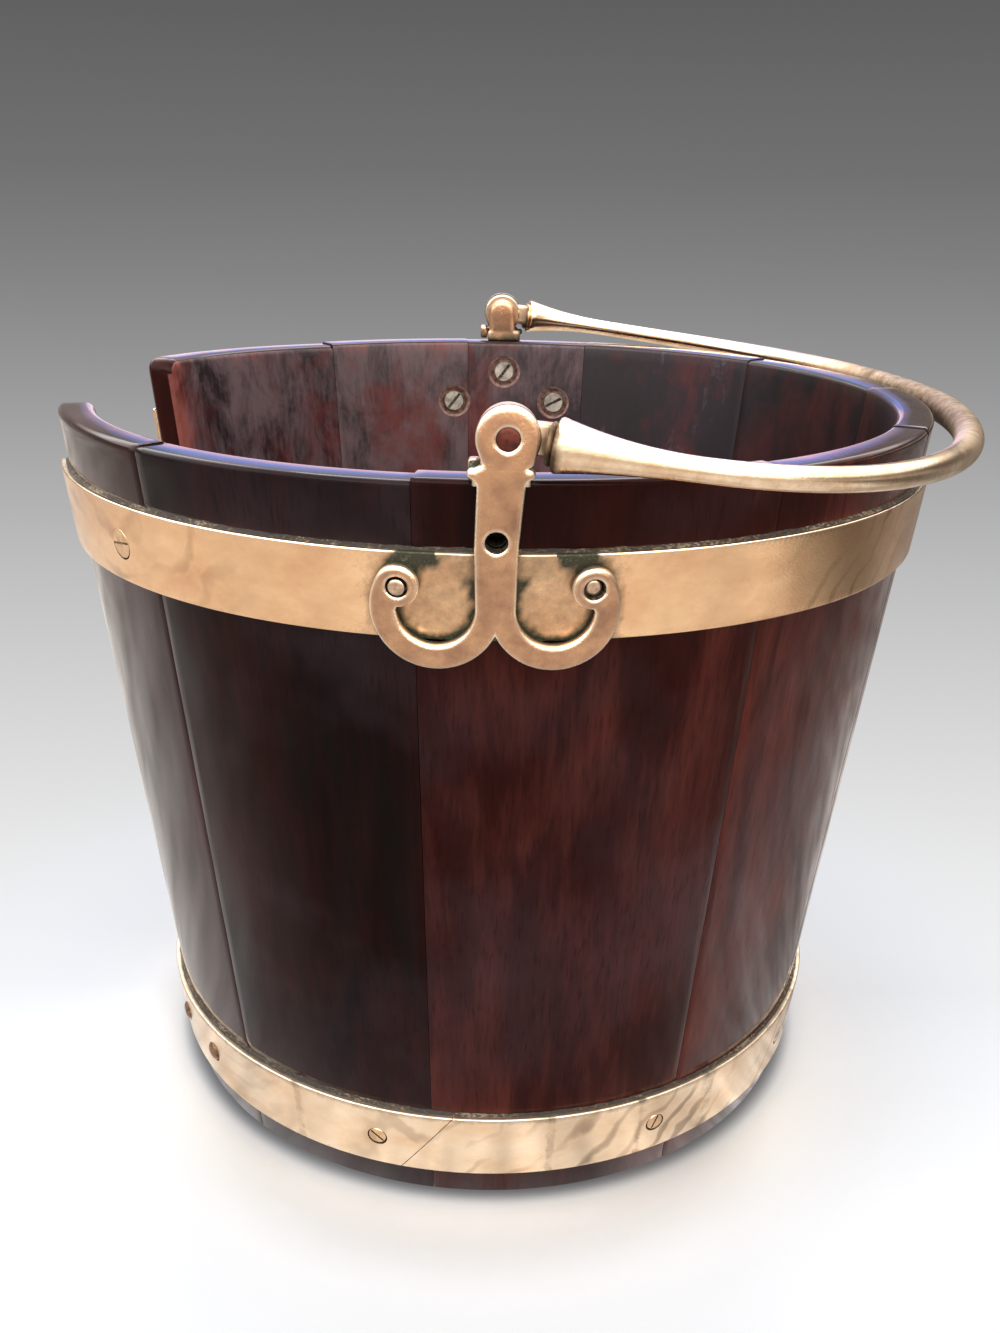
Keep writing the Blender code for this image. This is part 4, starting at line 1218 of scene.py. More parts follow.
@dataclass
class Hoops:
    """The two brass hoops, with dried polish along their upper edges."""

    finishes: Finishes
    thickness: float = 0.0027
    gap: float = 0.0004
    edge: float = 0.0007
    upper: tuple = (0.2491, 0.2787)
    lower: tuple = (0.0122, 0.0415)
    end_margin: float = 0.004
    end_round: float = 0.004
    facet: float = 0.75
    crust_facet: float = 0.5
    crease: float = 50.0
    crust_crease: float = 60.0
    rows: int = 9
    buckle: float = 0.00012
    buckle_scale: float = 26.0
    bore_ends: tuple = (-0.004, 0.008)
    scarf_azimuth: float = -9.2
    scarf_slant: float = 53.5
    scarf_size: tuple = (0.040, 0.0003, 0.0038)
    # Azimuth and width of the painted dark reflection streaks on the lower hoop
    reflection_streaks: tuple = ((9.6, 0.8), (24.3, 1.0), (37.4, 2.0), (-31.0, 1.2))
    upper_crust: float = 0.0011
    lower_crust: tuple = (0.0030, 0.0008)

    def section(self, bottom: float, top: float) -> list[Point]:
        """Square section of a hoop that leans with the wall."""
        low, high = WALL.outer(bottom) + self.gap, WALL.outer(top) + self.gap
        return [(low + self.thickness, bottom), (high + self.thickness, top), (high, top), (low, bottom)]

    def shape(self, bm: BMesh, bottom: float, top: float) -> None:
        """Round the corners of the ends, ease the edges and buckle the strip a little.

        Args:
            bm: Hoop with square edges.
            bottom: Height of its lower edge above the foot.
            top: Height of its upper edge above the foot.
        """
        corners = [e for e in bm.edges if len(e.link_faces) == 2 and self.is_end_corner(e)]
        if corners:
            round_edges(bm, corners, self.end_round, 5)
        round_edges(bm, sharp_edges(bm), self.edge, 3)
        levels = [bottom + (top - bottom) * row / self.rows + WALL.foot_level for row in range(1, self.rows)]
        slice_mesh(bm, levels, (0, 0, 1))
        for vert in bm.verts:
            vert.co += outward(vert.co) * abs(noise.noise(vert.co * self.buckle_scale) * self.buckle)

    def is_end_corner(self, edge: BMEdge) -> bool:
        """Whether an edge runs through the strip's thickness at one of its ends.

        Args:
            edge: Edge of the square strip.

        Returns:
            True for such an edge.
        """
        first, second = edge.verts
        level = abs(first.co.z - second.co.z) < 1e-5
        return level and abs(edge.calc_length() - self.thickness) < 1e-4

    def make(self) -> None:
        """Build, bore, dress and hand in the hoops and their residue."""
        margin = math.degrees(self.end_margin / WALL.rim_radius)
        start = WALL.slot_azimuth + WALL.slot_angle / 2
        sweep = 360.0 - WALL.slot_angle
        hoops = (
            ("upper_hoop", self.upper, start + margin, sweep - 2 * margin, self.finishes.upper_hoop),
            ("lower_hoop", self.lower, start, 360.0, self.finishes.lower_hoop),
        )
        filling = self.finishes.residue
        for name, (bottom, top), first, turn, finish in hoops:
            bm = ring_section(self.section(bottom, top), first, turn, self.facet)
            self.shape(bm, bottom, top)
            piece = make_object(f"{name}_polished", bm, [finish], self.crease)
            merge_shape(piece, self.bores(name), filling, "DIFFERENCE", self.crease)
            if name == "lower_hoop":
                merge_shape(piece, self.scarf_line(), filling, "DIFFERENCE", self.crease)
            paint(piece, GRIME_AND_SHADE, self.grime_and_shade_at)
            # Painted highlight: a bright line along the hoop's rounded upper edge.
            paint(piece, RUBBED_AND_HIGHLIGHT, lambda co: smooth_step(-0.0009, -0.0002, WALL.rise(co) - top))
            hand_in(piece, Body.BUCKET, Slot.HOOPS, name)
            crust = make_object(
                f"{name}_dried_polish", self.residue(top, first, turn), [filling], self.crust_crease
            )
            hand_in(crust, Body.BUCKET, Slot.WOOD)

    def scarf_line(self) -> BMesh:
        """Cutter of the hairline where the lower hoop's slanting ends meet."""
        spot = WALL.stand(self.scarf_azimuth, sum(self.lower) / 2, self.thickness + self.gap + 0.001)
        return block(self.scarf_size, spot @ Matrix.Rotation(math.radians(self.scarf_slant), 4, "Z"))

    def bores(self, name: str) -> BMesh:
        """Cutters of the holes for a hoop's screws, a hair wider than the heads.

        Args:
            name: Name of the hoop.

        Returns:
            Mesh of all the cutters.
        """
        whole = bmesh.new()
        for screw in HoopScrews.all_screws():
            if screw.hoop == name:
                place = WALL.stand(screw.azimuth, screw.height, 0.0)
                bm = rod(screw.radius + screw.margin, *self.bore_ends, 48, place)
                bore = bpy.data.meshes.new("bore")
                bm.to_mesh(bore)
                bm.free()
                whole.from_mesh(bore)
        return whole

    def residue(self, top: float, start: float, sweep: float) -> BMesh:
        """Ragged fillet of dried polish between a hoop's upper edge and the wall.

        Args:
            top: Height of the hoop's upper edge above the foot.
            start: Azimuth where the hoop starts.
            sweep: Degrees that it runs round.

        Returns:
            Mesh of the fillet.
        """
        section = [
            (WALL.outer(top - 0.001) + 0.0001, top - 0.001),
            (WALL.outer(top) + 0.0020, top - 0.0007),
            (WALL.outer(top) + 0.0010, top + 0.0003),
            (WALL.outer(top) + 0.0001, top + 0.0020),
        ]
        bm = ring_section(section, start, sweep, self.crust_facet)
        for vert in bm.verts:
            rough = noise.noise(vert.co * 190.0) + 0.5 * noise.noise(vert.co * 520.0)
            above = smooth_step(0.0, 0.002, WALL.rise(vert.co) - top)
            climb = above * (self.crust_rise(top, azimuth_of(vert.co)) - 0.002 + 0.0005 * rough)
            swell = climb * math.tan(WALL.lean) + 0.00025 * rough * (1 - above)
            vert.co += Vector((0, 0, climb)) + outward(vert.co) * swell
        return bm

    def crust_rise(self, top: float, azimuth: float) -> float:
        """Height that the dried polish reaches over a hoop: most at the lower hoop's left.

        Args:
            top: Height of the hoop's upper edge above the foot.
            azimuth: Azimuth of the place.

        Returns:
            Height over the hoop's edge.
        """
        if top == self.upper[1]:
            return self.upper_crust
        left, right = self.lower_crust
        return left - (left - right) * smooth_step(-70.0, 20.0, azimuth)

    def grime_and_shade_at(self, co: Vector) -> float:
        """Tarnish round the lugs' scrolls with painted shade beside the stems, painted dark reflection streaks on the
        lower hoop, darkening towards the slot on the upper hoop, and a thin line under the strip's edges.

        Args:
            co: Point in the model's frame.

        Returns:
            Grime, from 0 to 1.
        """
        height = WALL.rise(co)
        azimuth = azimuth_of(co)
        if height > self.lower[1] + 0.1:
            left_end = 0.2 * (1.0 - smooth_step(3.0, 11.0, abs(azimuth - WALL.slot_azimuth) - WALL.slot_angle / 2))
            under = 0.10 * (1.0 - smooth_step(0.0, 0.002, height - self.upper[0]))
            return LUG.grime_and_shade_beside(co) + under + left_end
        # Painted dark reflection streaks: soft upright bands at listed azimuths of the lower hoop.
        reflected_streak = max(1.0 - smooth_step(0.4 * width, width, abs(azimuth - place)) for place, width in self.reflection_streaks)
        by_crust = 0.25 * smooth_step(-0.0022, -0.0008, height - self.lower[1])
        return 0.16 * reflected_streak + max(0.12 * (1.0 - smooth_step(0.0, 0.002, height - self.lower[0])), by_crust)


@dataclass(frozen=True)
class Screw:
    """One fastener of a hoop."""

    name: str
    hoop: str
    azimuth: float
    height: float
    radius: float
    margin: float = 0.0003
    turn: float = 0.0
    domed: bool = False


@dataclass
class HoopScrews:
    """Slotted screws filed flush with the hoops, and two proud domed ones."""

    finishes: Finishes
    standoff: float = 0.00315
    slot_width: float = 0.0008
    slot_depth: float = 0.0007
    slot_margin: float = 0.0003
    ease: float = 0.00012
    shank: float = 0.0022
    dome_shank: float = 0.002
    dome_rise: float = 0.0016
    tarnish: float = 0.05

    @staticmethod
    def all_screws() -> list[Screw]:
        """Every fastener of the two hoops, under the CAD nodes' names.

        Returns:
            The twelve fasteners.
        """
        turns = random.Random(11)
        found = [
            Screw("upper_hoop_screw_01", "upper_hoop", -47.7, 0.2639, 0.0055, turn=8.0),
            Screw("upper_hoop_screw_02", "upper_hoop", -139.3, 0.2639, 0.0055, turn=-30.0),
        ]
        azimuths = (-66.0, -52.8, -17.0, 27.1, 60.2, 92.0, 140.0, 175.0, 222.0, 262.0)
        for number, azimuth in enumerate(azimuths, start=1):
            domed = number <= 2
            radius, margin = (0.0042, 0.0003) if domed else (0.0036, 0.0006)
            turn = -40.0 if number == 3 else turns.uniform(-80, 80)
            name = f"lower_hoop_screw_{number:02d}"
            found.append(Screw(name, "lower_hoop", azimuth, 0.02685, radius, margin, turn, domed))
        return found

    def make(self) -> None:
        """Build, dress and hand in the screws."""
        for screw in self.all_screws():
            bm = self.dome(screw) if screw.domed else self.flat_head(screw)
            place = WALL.stand(screw.azimuth, screw.height, self.standoff)
            bmesh.ops.transform(bm, matrix=place, verts=bm.verts)
            skin = self.finishes.stud if screw.domed else self.finishes.screw
            piece = make_object(f"{screw.name}_filed", bm, [skin, self.finishes.residue])
            paint(piece, GRIME_AND_SHADE, lambda co: self.tarnish)
            hand_in(piece, Body.BUCKET, Slot.SCREWS, screw.name)

    def dome(self, screw: Screw) -> BMesh:
        """Domed head without a slot, its edge at z = 0.

        Args:
            screw: Measures of the fastener.

        Returns:
            Mesh of the head.
        """
        side, rise = screw.radius, self.dome_rise
        crown = [(0.0, rise), (0.3 * side, 0.96 * rise), (0.6 * side, 0.8 * rise), (0.85 * side, 0.45 * rise)]
        return lathe(crown + [(side, 0.0), (side, -self.dome_shank), (0.0, -self.dome_shank)], 40)

    def flat_head(self, screw: Screw) -> BMesh:
        """Flat slotted head, its top at z = 0.

        Args:
            screw: Measures of the fastener.

        Returns:
            Mesh of the head.
        """
        side, ease = screw.radius, self.ease
        flat = [(0.0, 0.0), (side - ease, 0.0), (side, -ease), (side, -self.shank), (0.0, -self.shank)]
        bm = lathe(flat, 40)
        cut_slot(bm, side - self.slot_margin, self.slot_width, self.slot_depth, screw.turn)
        return bm


@dataclass
class LugCasting:
    """A cast lug: scrolled plate bent to the wall, upright head, saddle over the rim and inner cheek."""

    finishes: Finishes
    side: Side
    face: float = 0.1878
    thickness: float = 0.0045
    join: float = 30.0
    bulb_radius: float = 0.0070
    bulb_turn: float = 240.0
    band_dip: float = -5.0
    stem_top: float = 0.0073
    cove: float = 0.0024
    ear_radius: float = 0.00165
    ear_out: float = 0.0086
    ear_over_rim: float = 0.0039
    ear_start: float = -70.0
    neck_half: float = 0.0076
    head_radius: float = 0.00975
    pivot_over_rim: float = 0.0145
    head_foot: float = -20.0
    edge_round: float = 0.0012
    strips: int = 21
    cheek: float = 0.0045
    cheek_half: float = 0.0072
    cheek_round: float = 0.0024
    eye_room: float = 0.0071
    saddle_half: float = 0.0088
    saddle_thickness: float = 0.0048
    saddle_inset: float = 0.0010
    rim_gap: float = 0.0003
    stop_size: tuple = (0.0037, 0.0060, 0.0068)
    stop_aside: float = -0.0070
    stop_inset: float = 0.0032
    stop_over_rim: float = 0.0042
    stop_round: float = 0.0011
    pin_radius: float = 0.0037
    pin_ends: tuple = (0.002, -0.0141)
    bolt_radius: float = 0.0036
    bolt_ends: tuple = (0.002, -0.006)
    crease: float = 32.0

    @property
    def pivot(self) -> Point:
        """Centre of the head before the outline leans, as x and height above the foot."""
        return 0.0, WALL.height + self.pivot_over_rim

    def half_outline(self, bm: BMesh) -> None:
        """Draw the right half of the lug from the cleft between the scrolls to the top of the head.

        Args:
            bm: Mesh to draw in.
        """
        scroll = (LUG.scroll_out, LUG.scroll_height)
        bulb = polar(scroll, LUG.scroll_radius - self.bulb_radius, self.join)
        cleft = -math.acos(-LUG.scroll_out / LUG.scroll_radius)
        first = (0.0, 0.0, scroll[1] + LUG.scroll_radius * math.sin(cleft))
        pen = bmesh.ops.create_vert(bm, co=first)["vert"][0]
        pen = draw_arc(bm, pen, scroll, self.join - math.degrees(cleft), 44)
        pen = draw_arc(bm, pen, bulb, self.bulb_turn, 26)
        pen = draw_line(bm, pen, polar(scroll, LUG.scroll_radius - LUG.band, self.band_dip))
        pen = draw_arc(bm, pen, scroll, -180.0 - self.band_dip, 34)
        pen = draw_line(bm, pen, (self.stem_top, WALL.height))
        pen = draw_arc(bm, pen, (self.stem_top + self.cove, WALL.height), -75.0, 6)
        ear = (self.ear_out, WALL.height + self.ear_over_rim)
        pen = draw_line(bm, pen, polar(ear, self.ear_radius, self.ear_start))
        pen = draw_arc(bm, pen, ear, 185.0, 10)
        pen = draw_line(bm, pen, (self.neck_half, LUG.neck_height))
        pen = draw_line(bm, pen, polar(self.pivot, self.head_radius, self.head_foot))
        draw_arc(bm, pen, self.pivot, 90.0 - self.head_foot, 26)

    def plate(self) -> BMesh:
        """Flat plate of the lug with rounded front edges, facing -Y with its face at y = 0.

        Returns:
            Mesh of the flat plate.
        """
        bm = bmesh.new()
        self.half_outline(bm)
        bmesh.ops.mirror(bm, geom=bm.verts[:] + bm.edges[:], axis="X", merge_dist=1e-5)
        bmesh.ops.remove_doubles(bm, verts=bm.verts, dist=1e-5)
        bmesh.ops.contextual_create(bm, geom=bm.edges[:])
        if bm.faces[0].normal.y > 0:
            bm.faces[0].normal_flip()
        thicken(bm, self.thickness)
        rim = [e for e in bm.edges if all(abs(v.co.y) < 1e-7 for v in e.verts)]
        round_edges(bm, rim, self.edge_round, 4, clamp=False)
        return bm

    def face_radius(self, above_foot: float) -> float:
        """Distance of the lug's face from the bucket's axis: it leans with the wall and stands up over the rim."""
        return WALL.outer(min(above_foot, WALL.height)) + self.face - WALL.rim_radius

    def bend(self, bm: BMesh) -> None:
        """Cut the flat plate into strips and lay it round the wall, its head upright over the rim.

        Args:
            bm: Flat plate with its face at y = 0.
        """
        reach = LUG.scroll_out + LUG.scroll_radius
        places = [reach * index / self.strips + 1e-5 for index in range(1 - self.strips, self.strips)]
        slice_mesh(bm, places, (1, 0, 0))
        slice_mesh(bm, LUG.bends(), (0, 0, 1))
        for vert in bm.verts:
            x, depth, height = vert.co
            x += LUG.aside(self.side, height)
            y = -math.sqrt((self.face_radius(height) - depth) ** 2 - x * x)
            vert.co = (x, y, height + WALL.foot_level)

    def inner_cheek(self) -> BMesh:
        """Thumb-shaped cheek that stands inside the handle's eye.

        Returns:
            Mesh of the cheek.
        """
        bm = bmesh.new()
        foot = WALL.height + self.saddle_thickness / 2
        pen = bmesh.ops.create_vert(bm, co=(self.cheek_half, 0, foot))["vert"][0]
        pen = draw_line(bm, pen, (self.cheek_half, self.pivot[1]))
        pen = draw_arc(bm, pen, self.pivot, 180.0, 30)
        draw_line(bm, pen, (-self.cheek_half, foot))
        bmesh.ops.contextual_create(bm, geom=bm.verts[:])
        thicken(bm, self.cheek)
        inner = [e for e in bm.edges if all(v.co.y > self.cheek - 1e-6 for v in e.verts)]
        round_edges(bm, inner, self.cheek_round, 5)
        inset = self.face - self.thickness - self.eye_room
        aside = self.side.outward_x * PIVOT_ASIDE
        bmesh.ops.translate(bm, verts=bm.verts, vec=(aside, -inset, WALL.foot_level))
        return bm

    def saddle(self) -> BMesh:
        """Bridge over the rim between the two cheeks.

        Returns:
            Mesh of the bridge.
        """
        inner = self.face - 2 * self.cheek - self.eye_room
        outer = self.face - self.saddle_inset
        low = WALL.height + self.rim_gap + WALL.foot_level
        size = (2 * self.saddle_half, outer - inner, self.saddle_thickness)
        centre = (LUG.aside(self.side, WALL.height), -(outer + inner) / 2, low + self.saddle_thickness / 2)
        bm = block(size, Matrix.Translation(centre))
        top = [e for e in bm.edges if sum(v.co.z for v in e.verts) / 2 > low + 0.9 * self.saddle_thickness]
        sides = [e for e in bm.edges if e not in top and abs(e.verts[0].co.z - e.verts[1].co.z) > 0.001]
        round_edges(bm, top + sides, self.edge_round, 3)
        return bm

    def stop(self) -> BMesh:
        """Small knuckle on the saddle's left end, beside the handle's eye.

        Returns:
            Mesh of the knuckle.
        """
        y = self.cheek + self.stop_inset - self.face
        z = WALL.height + self.stop_over_rim + WALL.foot_level
        bm = block(self.stop_size, Matrix.Translation((self.stop_aside * self.side.outward_x, y, z)))
        round_edges(bm, bm.edges[:], self.stop_round, 3)
        return bm

    def make(self) -> None:
        """Build, bore, dress and hand in the lug."""
        name = f"{self.side.label}_lug"
        brass = self.finishes.casting
        bm = self.plate()
        self.bend(bm)
        piece = make_object(f"{name}_cast", bm, [brass], self.crease)
        for part in (self.saddle, self.inner_cheek, self.stop):
            merge_shape(piece, part(), brass, "UNION", self.crease)
        axis = (self.side.outward_x * PIVOT_ASIDE, -self.face, self.pivot[1] + WALL.foot_level)
        pin = rod(self.pin_radius, *self.pin_ends, 40, Matrix.Translation(axis) @ FACING_FRONT)
        merge_shape(piece, pin, brass, "DIFFERENCE", self.crease)
        for aside, height in LugFasteners.offsets(self.side):
            place = WALL.stand(aside, height, self.face - WALL.rim_radius)
            bore = rod(self.bolt_radius, *self.bolt_ends, 36, place)
            merge_shape(piece, bore, self.finishes.residue, "DIFFERENCE", self.crease)
        paint(piece, GRIME_AND_SHADE, self.grime_and_shade_at)
        paint(piece, RUBBED_AND_HIGHLIGHT, self.rub_and_highlight_at)
        piece.data.transform(Matrix.Rotation(math.radians(self.side.value), 4, "Z"))
        hand_in(piece, Body.BUCKET, Slot.CASTINGS, name)

    def depth_at(self, co: Vector) -> float:
        """How far a point of the unturned lug lies behind its face."""
        return self.face_radius(WALL.rise(co)) - math.hypot(co.x, co.y)

    def grime_and_shade_at(self, co: Vector) -> float:
        """Tarnish that deepens from the face of the lug down its sides, and fills the saddle.

        Args:
            co: Point of the lug before it is turned to its side.

        Returns:
            Grime, from 0 to 1.
        """
        depth = self.depth_at(co)
        if depth > self.thickness + 0.0005:
            return 0.10 + 0.45 * (1.0 - smooth_step(0.0, 0.007, WALL.rise(co) - WALL.height))
        return 0.75 * smooth_step(0.0014, 0.0042, depth)

    def rub_and_highlight_at(self, co: Vector) -> float:
        """Bright wear and a painted highlight on the rounded edge of the face."""
        depth = self.depth_at(co)
        return smooth_step(0.0, 0.0003, depth) * (1.0 - smooth_step(0.0014, 0.0024, depth))


@dataclass
class LugFasteners:
    """Bolts through the lugs and the slotted nuts sunk in the inside of the wall."""

    finishes: Finishes
    rod_radius: float = 0.00265
    rod_end: float = -0.0155
    nut_radius: float = 0.0055
    nut_thickness: float = 0.0024
    nut_ease: float = 0.0005
    nut_margin: float = 0.0002
    nut_slot: tuple = (0.0015, 0.0011)
    nut_stand: float = 0.0008

    TOP_HEIGHT = 0.2837
    SIDE_HEIGHT = 0.2680
    SIDE_OUT = 0.03077
    FACE = 0.0078

    @classmethod
    def offsets(cls, side: Side) -> list[tuple[float, float]]:
        """Azimuth from the lug's place and height of the top, left and right bolts.

        Args:
            side: Lug that is meant.

        Returns:
            Three pairs of azimuth and height.
        """
        found = []
        for out, height in ((0.0, cls.TOP_HEIGHT), (-cls.SIDE_OUT, cls.SIDE_HEIGHT), (cls.SIDE_OUT, cls.SIDE_HEIGHT)):
            x = out + side.outward_x * side.asides[0]
            found.append((math.degrees(math.asin(x / (WALL.outer(height) + cls.FACE))), height))
        return found

    @classmethod
    def places(cls) -> list[tuple[float, float]]:
        """Azimuth and height of all six bolts."""
        return [(side.value + aside, height) for side in Side for aside, height in cls.offsets(side)]

    def make(self) -> None:
        """Build, dress and hand in the bolts and nuts."""
        turns = random.Random(5)
        stands = {"top": -0.0125, "left": 0.0008, "right": -0.0013}
        for side in Side:
            for (aside, height), (word, stand) in zip(self.offsets(side), stands.items()):
                azimuth = side.value + aside
                name = f"{side.label}_lug_bolt_{word}"
                bm = self.bolt(stand, WALL.stand(azimuth, height, self.FACE))
                hand_in(make_object(f"{name}_rod", bm, [self.finishes.bolt]), Body.BUCKET, Slot.CASTINGS, name)
                name = f"{side.label}_lug_nut_{word}"
                bm = self.nut(turns.uniform(-60, 60), WALL.stand(azimuth, height, 0.0))
                piece = make_object(f"{name}_slotted", bm, [self.finishes.nut, self.finishes.residue])
                hand_in(piece, Body.BUCKET, Slot.NUTS, name)

    def bolt(self, stand: float, place: Matrix) -> BMesh:
        """Rod of a bolt with an eased end.

        Args:
            stand: Height of its end over the lug's face.
            place: Place on the lug's face.

        Returns:
            Mesh of the rod.
        """
        radius = self.rod_radius
        crown = [(0.0, stand), (0.6 * radius, stand - 0.00005), (0.88 * radius, stand - 0.0002)]
        return lathe(crown + [(radius, stand - 0.0005), (radius, self.rod_end), (0.0, self.rod_end)], 32, place)

    def nut(self, turn: float, place: Matrix) -> BMesh:
        """Slotted nut that faces the inside of the bucket.

        Args:
            turn: Turn of its slot in degrees.
            place: Place on the wall's outside.

        Returns:
            Mesh of the nut.
        """
        radius, ease = self.nut_radius, self.nut_ease
        top = [(0.0, 0.0), (radius - ease, 0.0), (radius, -ease)]
        bm = lathe(top + [(radius, -self.nut_thickness), (0.0, -self.nut_thickness)], 36)
        cut_slot(bm, radius - ease - self.nut_margin, *self.nut_slot, turn)
        inside = self.nut_stand - WALL.thickness * math.cos(WALL.lean)
        inward = Matrix.Translation((0, 0, inside)) @ Matrix.Rotation(math.pi, 4, "X")
        bmesh.ops.transform(bm, matrix=place @ inward, verts=bm.verts)
        return bm


@dataclass
class Handle:
    """Bail handle with collars, trumpet necks and a swelling grip, and its pivot pins."""

    finishes: Finishes
    pivot_height: float = 0.3155
    reach: float = 0.1885
    eye_plane: float = 0.17975
    eye_radius: float = 0.0094
    eye_thickness: float = 0.0065
    eye_ease: float = 0.0006
    pin_radius: float = 0.0035
    pin_end: float = -0.0138
    pin_play: float = 0.0002
    neck: tuple = (0.0026, 0.0050)
    neck_round: float = 0.0012
    collar_radius: float = 0.00685
    collar_length: float = 0.0022
    lip_radius: float = 0.0085
    lip_length: float = 0.0012
    flare_length: float = 0.045
    flare_power: float = 2.2
    flare_stations: int = 18
    waist_radius: float = 0.0040
    grip_radius: float = 0.0060
    splay: float = 16.0
    eye_pull: float = 0.78
    crown_pull: float = 0.41
    rest_tilt: float = 5.73
    bow: float = 0.0032
    head_radius: float = 0.00975
    head_gap: float = 0.0003
    stations: int = 34
    sides: int = 32
    crease: float = 40.0

    def rest_place(self) -> Matrix:
        """Place of the handle's own plane with the handle at rest."""
        pivot = (PIVOT_ASIDE, 0.0, self.pivot_height + WALL.foot_level)
        return Matrix.Translation(pivot) @ Matrix.Rotation(math.radians(self.rest_tilt), 4, "Y")

    def radii(self, whole: float) -> list[Point]:
        """Length along the half path and radius of each ring of the bar.

        Args:
            whole: Length of the half path.

        Returns:
            Pairs of length and radius, from the collar to the crown.
        """
        splay = math.radians(self.splay)
        start = (self.head_radius + self.head_gap + self.collar_radius * math.sin(splay)) / math.cos(splay)
        lip = start + self.collar_length
        collar = ((0.0, 0.80), (0.0003, 0.93), (0.0009, 1.0), (0.0015, 0.97), (self.collar_length - 0.0001, 0.86))
        flange = ((0.0001, 0.88), (0.0004, 0.96), (0.0009, 0.995))
        marks = [(start + along, share * self.collar_radius) for along, share in collar]
        marks += [(lip + along, share * self.lip_radius) for along, share in flange]
        flare = lip + self.lip_length
        for i in range(self.flare_stations):
            share = i / self.flare_stations
            radius = self.waist_radius + (self.lip_radius - self.waist_radius) * (1 - share) ** self.flare_power
            marks.append((flare + share * self.flare_length, radius))
        waist = flare + self.flare_length
        for i in range(self.stations + 1):
            share = i / self.stations
            radius = self.waist_radius + (self.grip_radius - self.waist_radius) * smooth_step(0.0, 1.0, share)
            marks.append((waist + share * (whole - waist), radius))
        return marks

    def half_path(self) -> list[tuple[Vector, float]]:
        """Points and radii of the bar from the collar on the +Y side to the crown.

        Returns:
            Pairs of point and radius.
        """
        splay = math.radians(self.splay)
        eye, crown = Vector((0, self.eye_plane, 0)), Vector((self.reach, 0, 0))
        leaving = eye + self.eye_pull * self.reach * Vector((math.cos(splay), math.sin(splay), 0))
        arriving = crown + Vector((0, self.crown_pull * self.reach, 0))
        path = interpolate_bezier(eye, leaving, arriving, crown, 600)
        lengths = [0.0]
        for a, b in zip(path, path[1:]):
            lengths.append(lengths[-1] + (b - a).length)
        half = []
        for length, radius in self.radii(lengths[-1]):
            index = next(i for i, reached in enumerate(lengths[1:]) if reached >= length - 1e-7)
            share = (length - lengths[index]) / (lengths[index + 1] - lengths[index])
            point = path[index].lerp(path[index + 1], share)
            point.z = -self.bow * math.sin(math.pi * point.x / self.reach)
            half.append((point, radius))
        return half

    def bar(self) -> BMesh:
        """Bar of the handle, lofted through rings from collar to collar.

        Returns:
            Mesh of the bar.
        """
        half = self.half_path()
        stations = half + [(Vector((p.x, -p.y, p.z)), r) for p, r in reversed(half[:-1])]
        bm = bmesh.new()
        last = []
        for index, (point, radius) in enumerate(stations):
            before = stations[max(index - 1, 0)][0]
            after = stations[min(index + 1, len(stations) - 1)][0]
            along = (after - before).normalized()
            across = Vector((0, 0, 1)).cross(along).normalized()
            place = Matrix((across, along.cross(across), along)).transposed().to_4x4()
            place.translation = point
            ring = bmesh.ops.create_circle(bm, radius=radius, segments=self.sides, matrix=place)["verts"]
            edges = list({e for v in ring for e in v.link_edges})
            if last:
                bmesh.ops.bridge_loops(bm, edges=last + edges)
            last = edges
        bmesh.ops.holes_fill(bm, edges=[e for e in bm.edges if e.is_boundary], sides=0)
        bmesh.ops.recalc_face_normals(bm, faces=bm.faces)
        return bm

    def eye(self, side: int) -> BMesh:
        """Eye of the handle, with its bore and eased edges.

        Args:
            side: -1 for the eye at -Y, 1 for the one at +Y.

        Returns:
            Mesh of the eye.
        """
        half, ease, radius = self.eye_thickness / 2, self.eye_ease, self.eye_radius
        bore = self.pin_radius + self.pin_play
        front = [(bore, half), (radius - ease, half), (radius, half - ease)]
        back = [(radius, ease - half), (radius - ease, -half), (bore, -half)]
        return lathe(front + back + front[:1], 56, Matrix.Translation((0, side * self.eye_plane, 0)) @ FACING_FRONT)

    def neck_block(self, side: int) -> BMesh:
        """Short neck between an eye and the collar.

        Args:
            side: -1 for the neck at -Y, 1 for the one at +Y.

        Returns:
            Mesh of the neck.
        """
        start, end = 0.55 * self.eye_radius, self.head_radius + self.collar_length + 0.002
        size = (end - start, 2 * self.neck[0], 2 * self.neck[1])
        bm = block(size, Matrix.Translation(((start + end) / 2, side * self.eye_plane, 0)))
        long_edges = [e for e in bm.edges if abs(e.verts[0].co.x - e.verts[1].co.x) > 0.001]
        round_edges(bm, long_edges, self.neck_round, 3)
        return bm

    def make(self) -> None:
        """Build, dress and hand in the handle and its pins."""
        brass = self.finishes.handle
        piece = make_object("handle_cast", self.bar(), [brass], self.crease)
        for side in (-1, 1):
            for part in (self.eye, self.neck_block):
                merge_shape(piece, part(side), brass, "UNION", self.crease)
        paint(piece, GRIME_AND_SHADE, self.grime_and_shade_at)
        piece.data.transform(self.rest_place())
        hand_in(piece, Body.BAIL, Slot.CASTINGS, "handle")
        for side in Side:
            self.make_pin(side)

    def grime_and_shade_at(self, co: Vector) -> float:
        """Verdigris on the collars and round the eyes, with painted shade on the underside and a painted dark
        reflection over the crown, in the handle's own plane.

        Args:
            co: Point in the handle's own plane.

        Returns:
            Grime, from 0 to 1.
        """
        # Painted shade: darker on the handle's underside.
        under = 0.08 * (1.0 - smooth_step(-0.005, 0.0, co.z))
        if abs(abs(co.y) - self.eye_plane) >= 0.02:
            # Painted dark reflection over the crown.
            return under + 0.50 * smooth_step(0.145, 0.180, co.x)
        collar = 0.5 * smooth_step(0.008, 0.0105, co.x) * (1.0 - smooth_step(0.0142, 0.0146, co.x))
        eye = 0.30 * (1.0 - smooth_step(0.006, 0.011, co.x))
        return max(collar, eye) + under

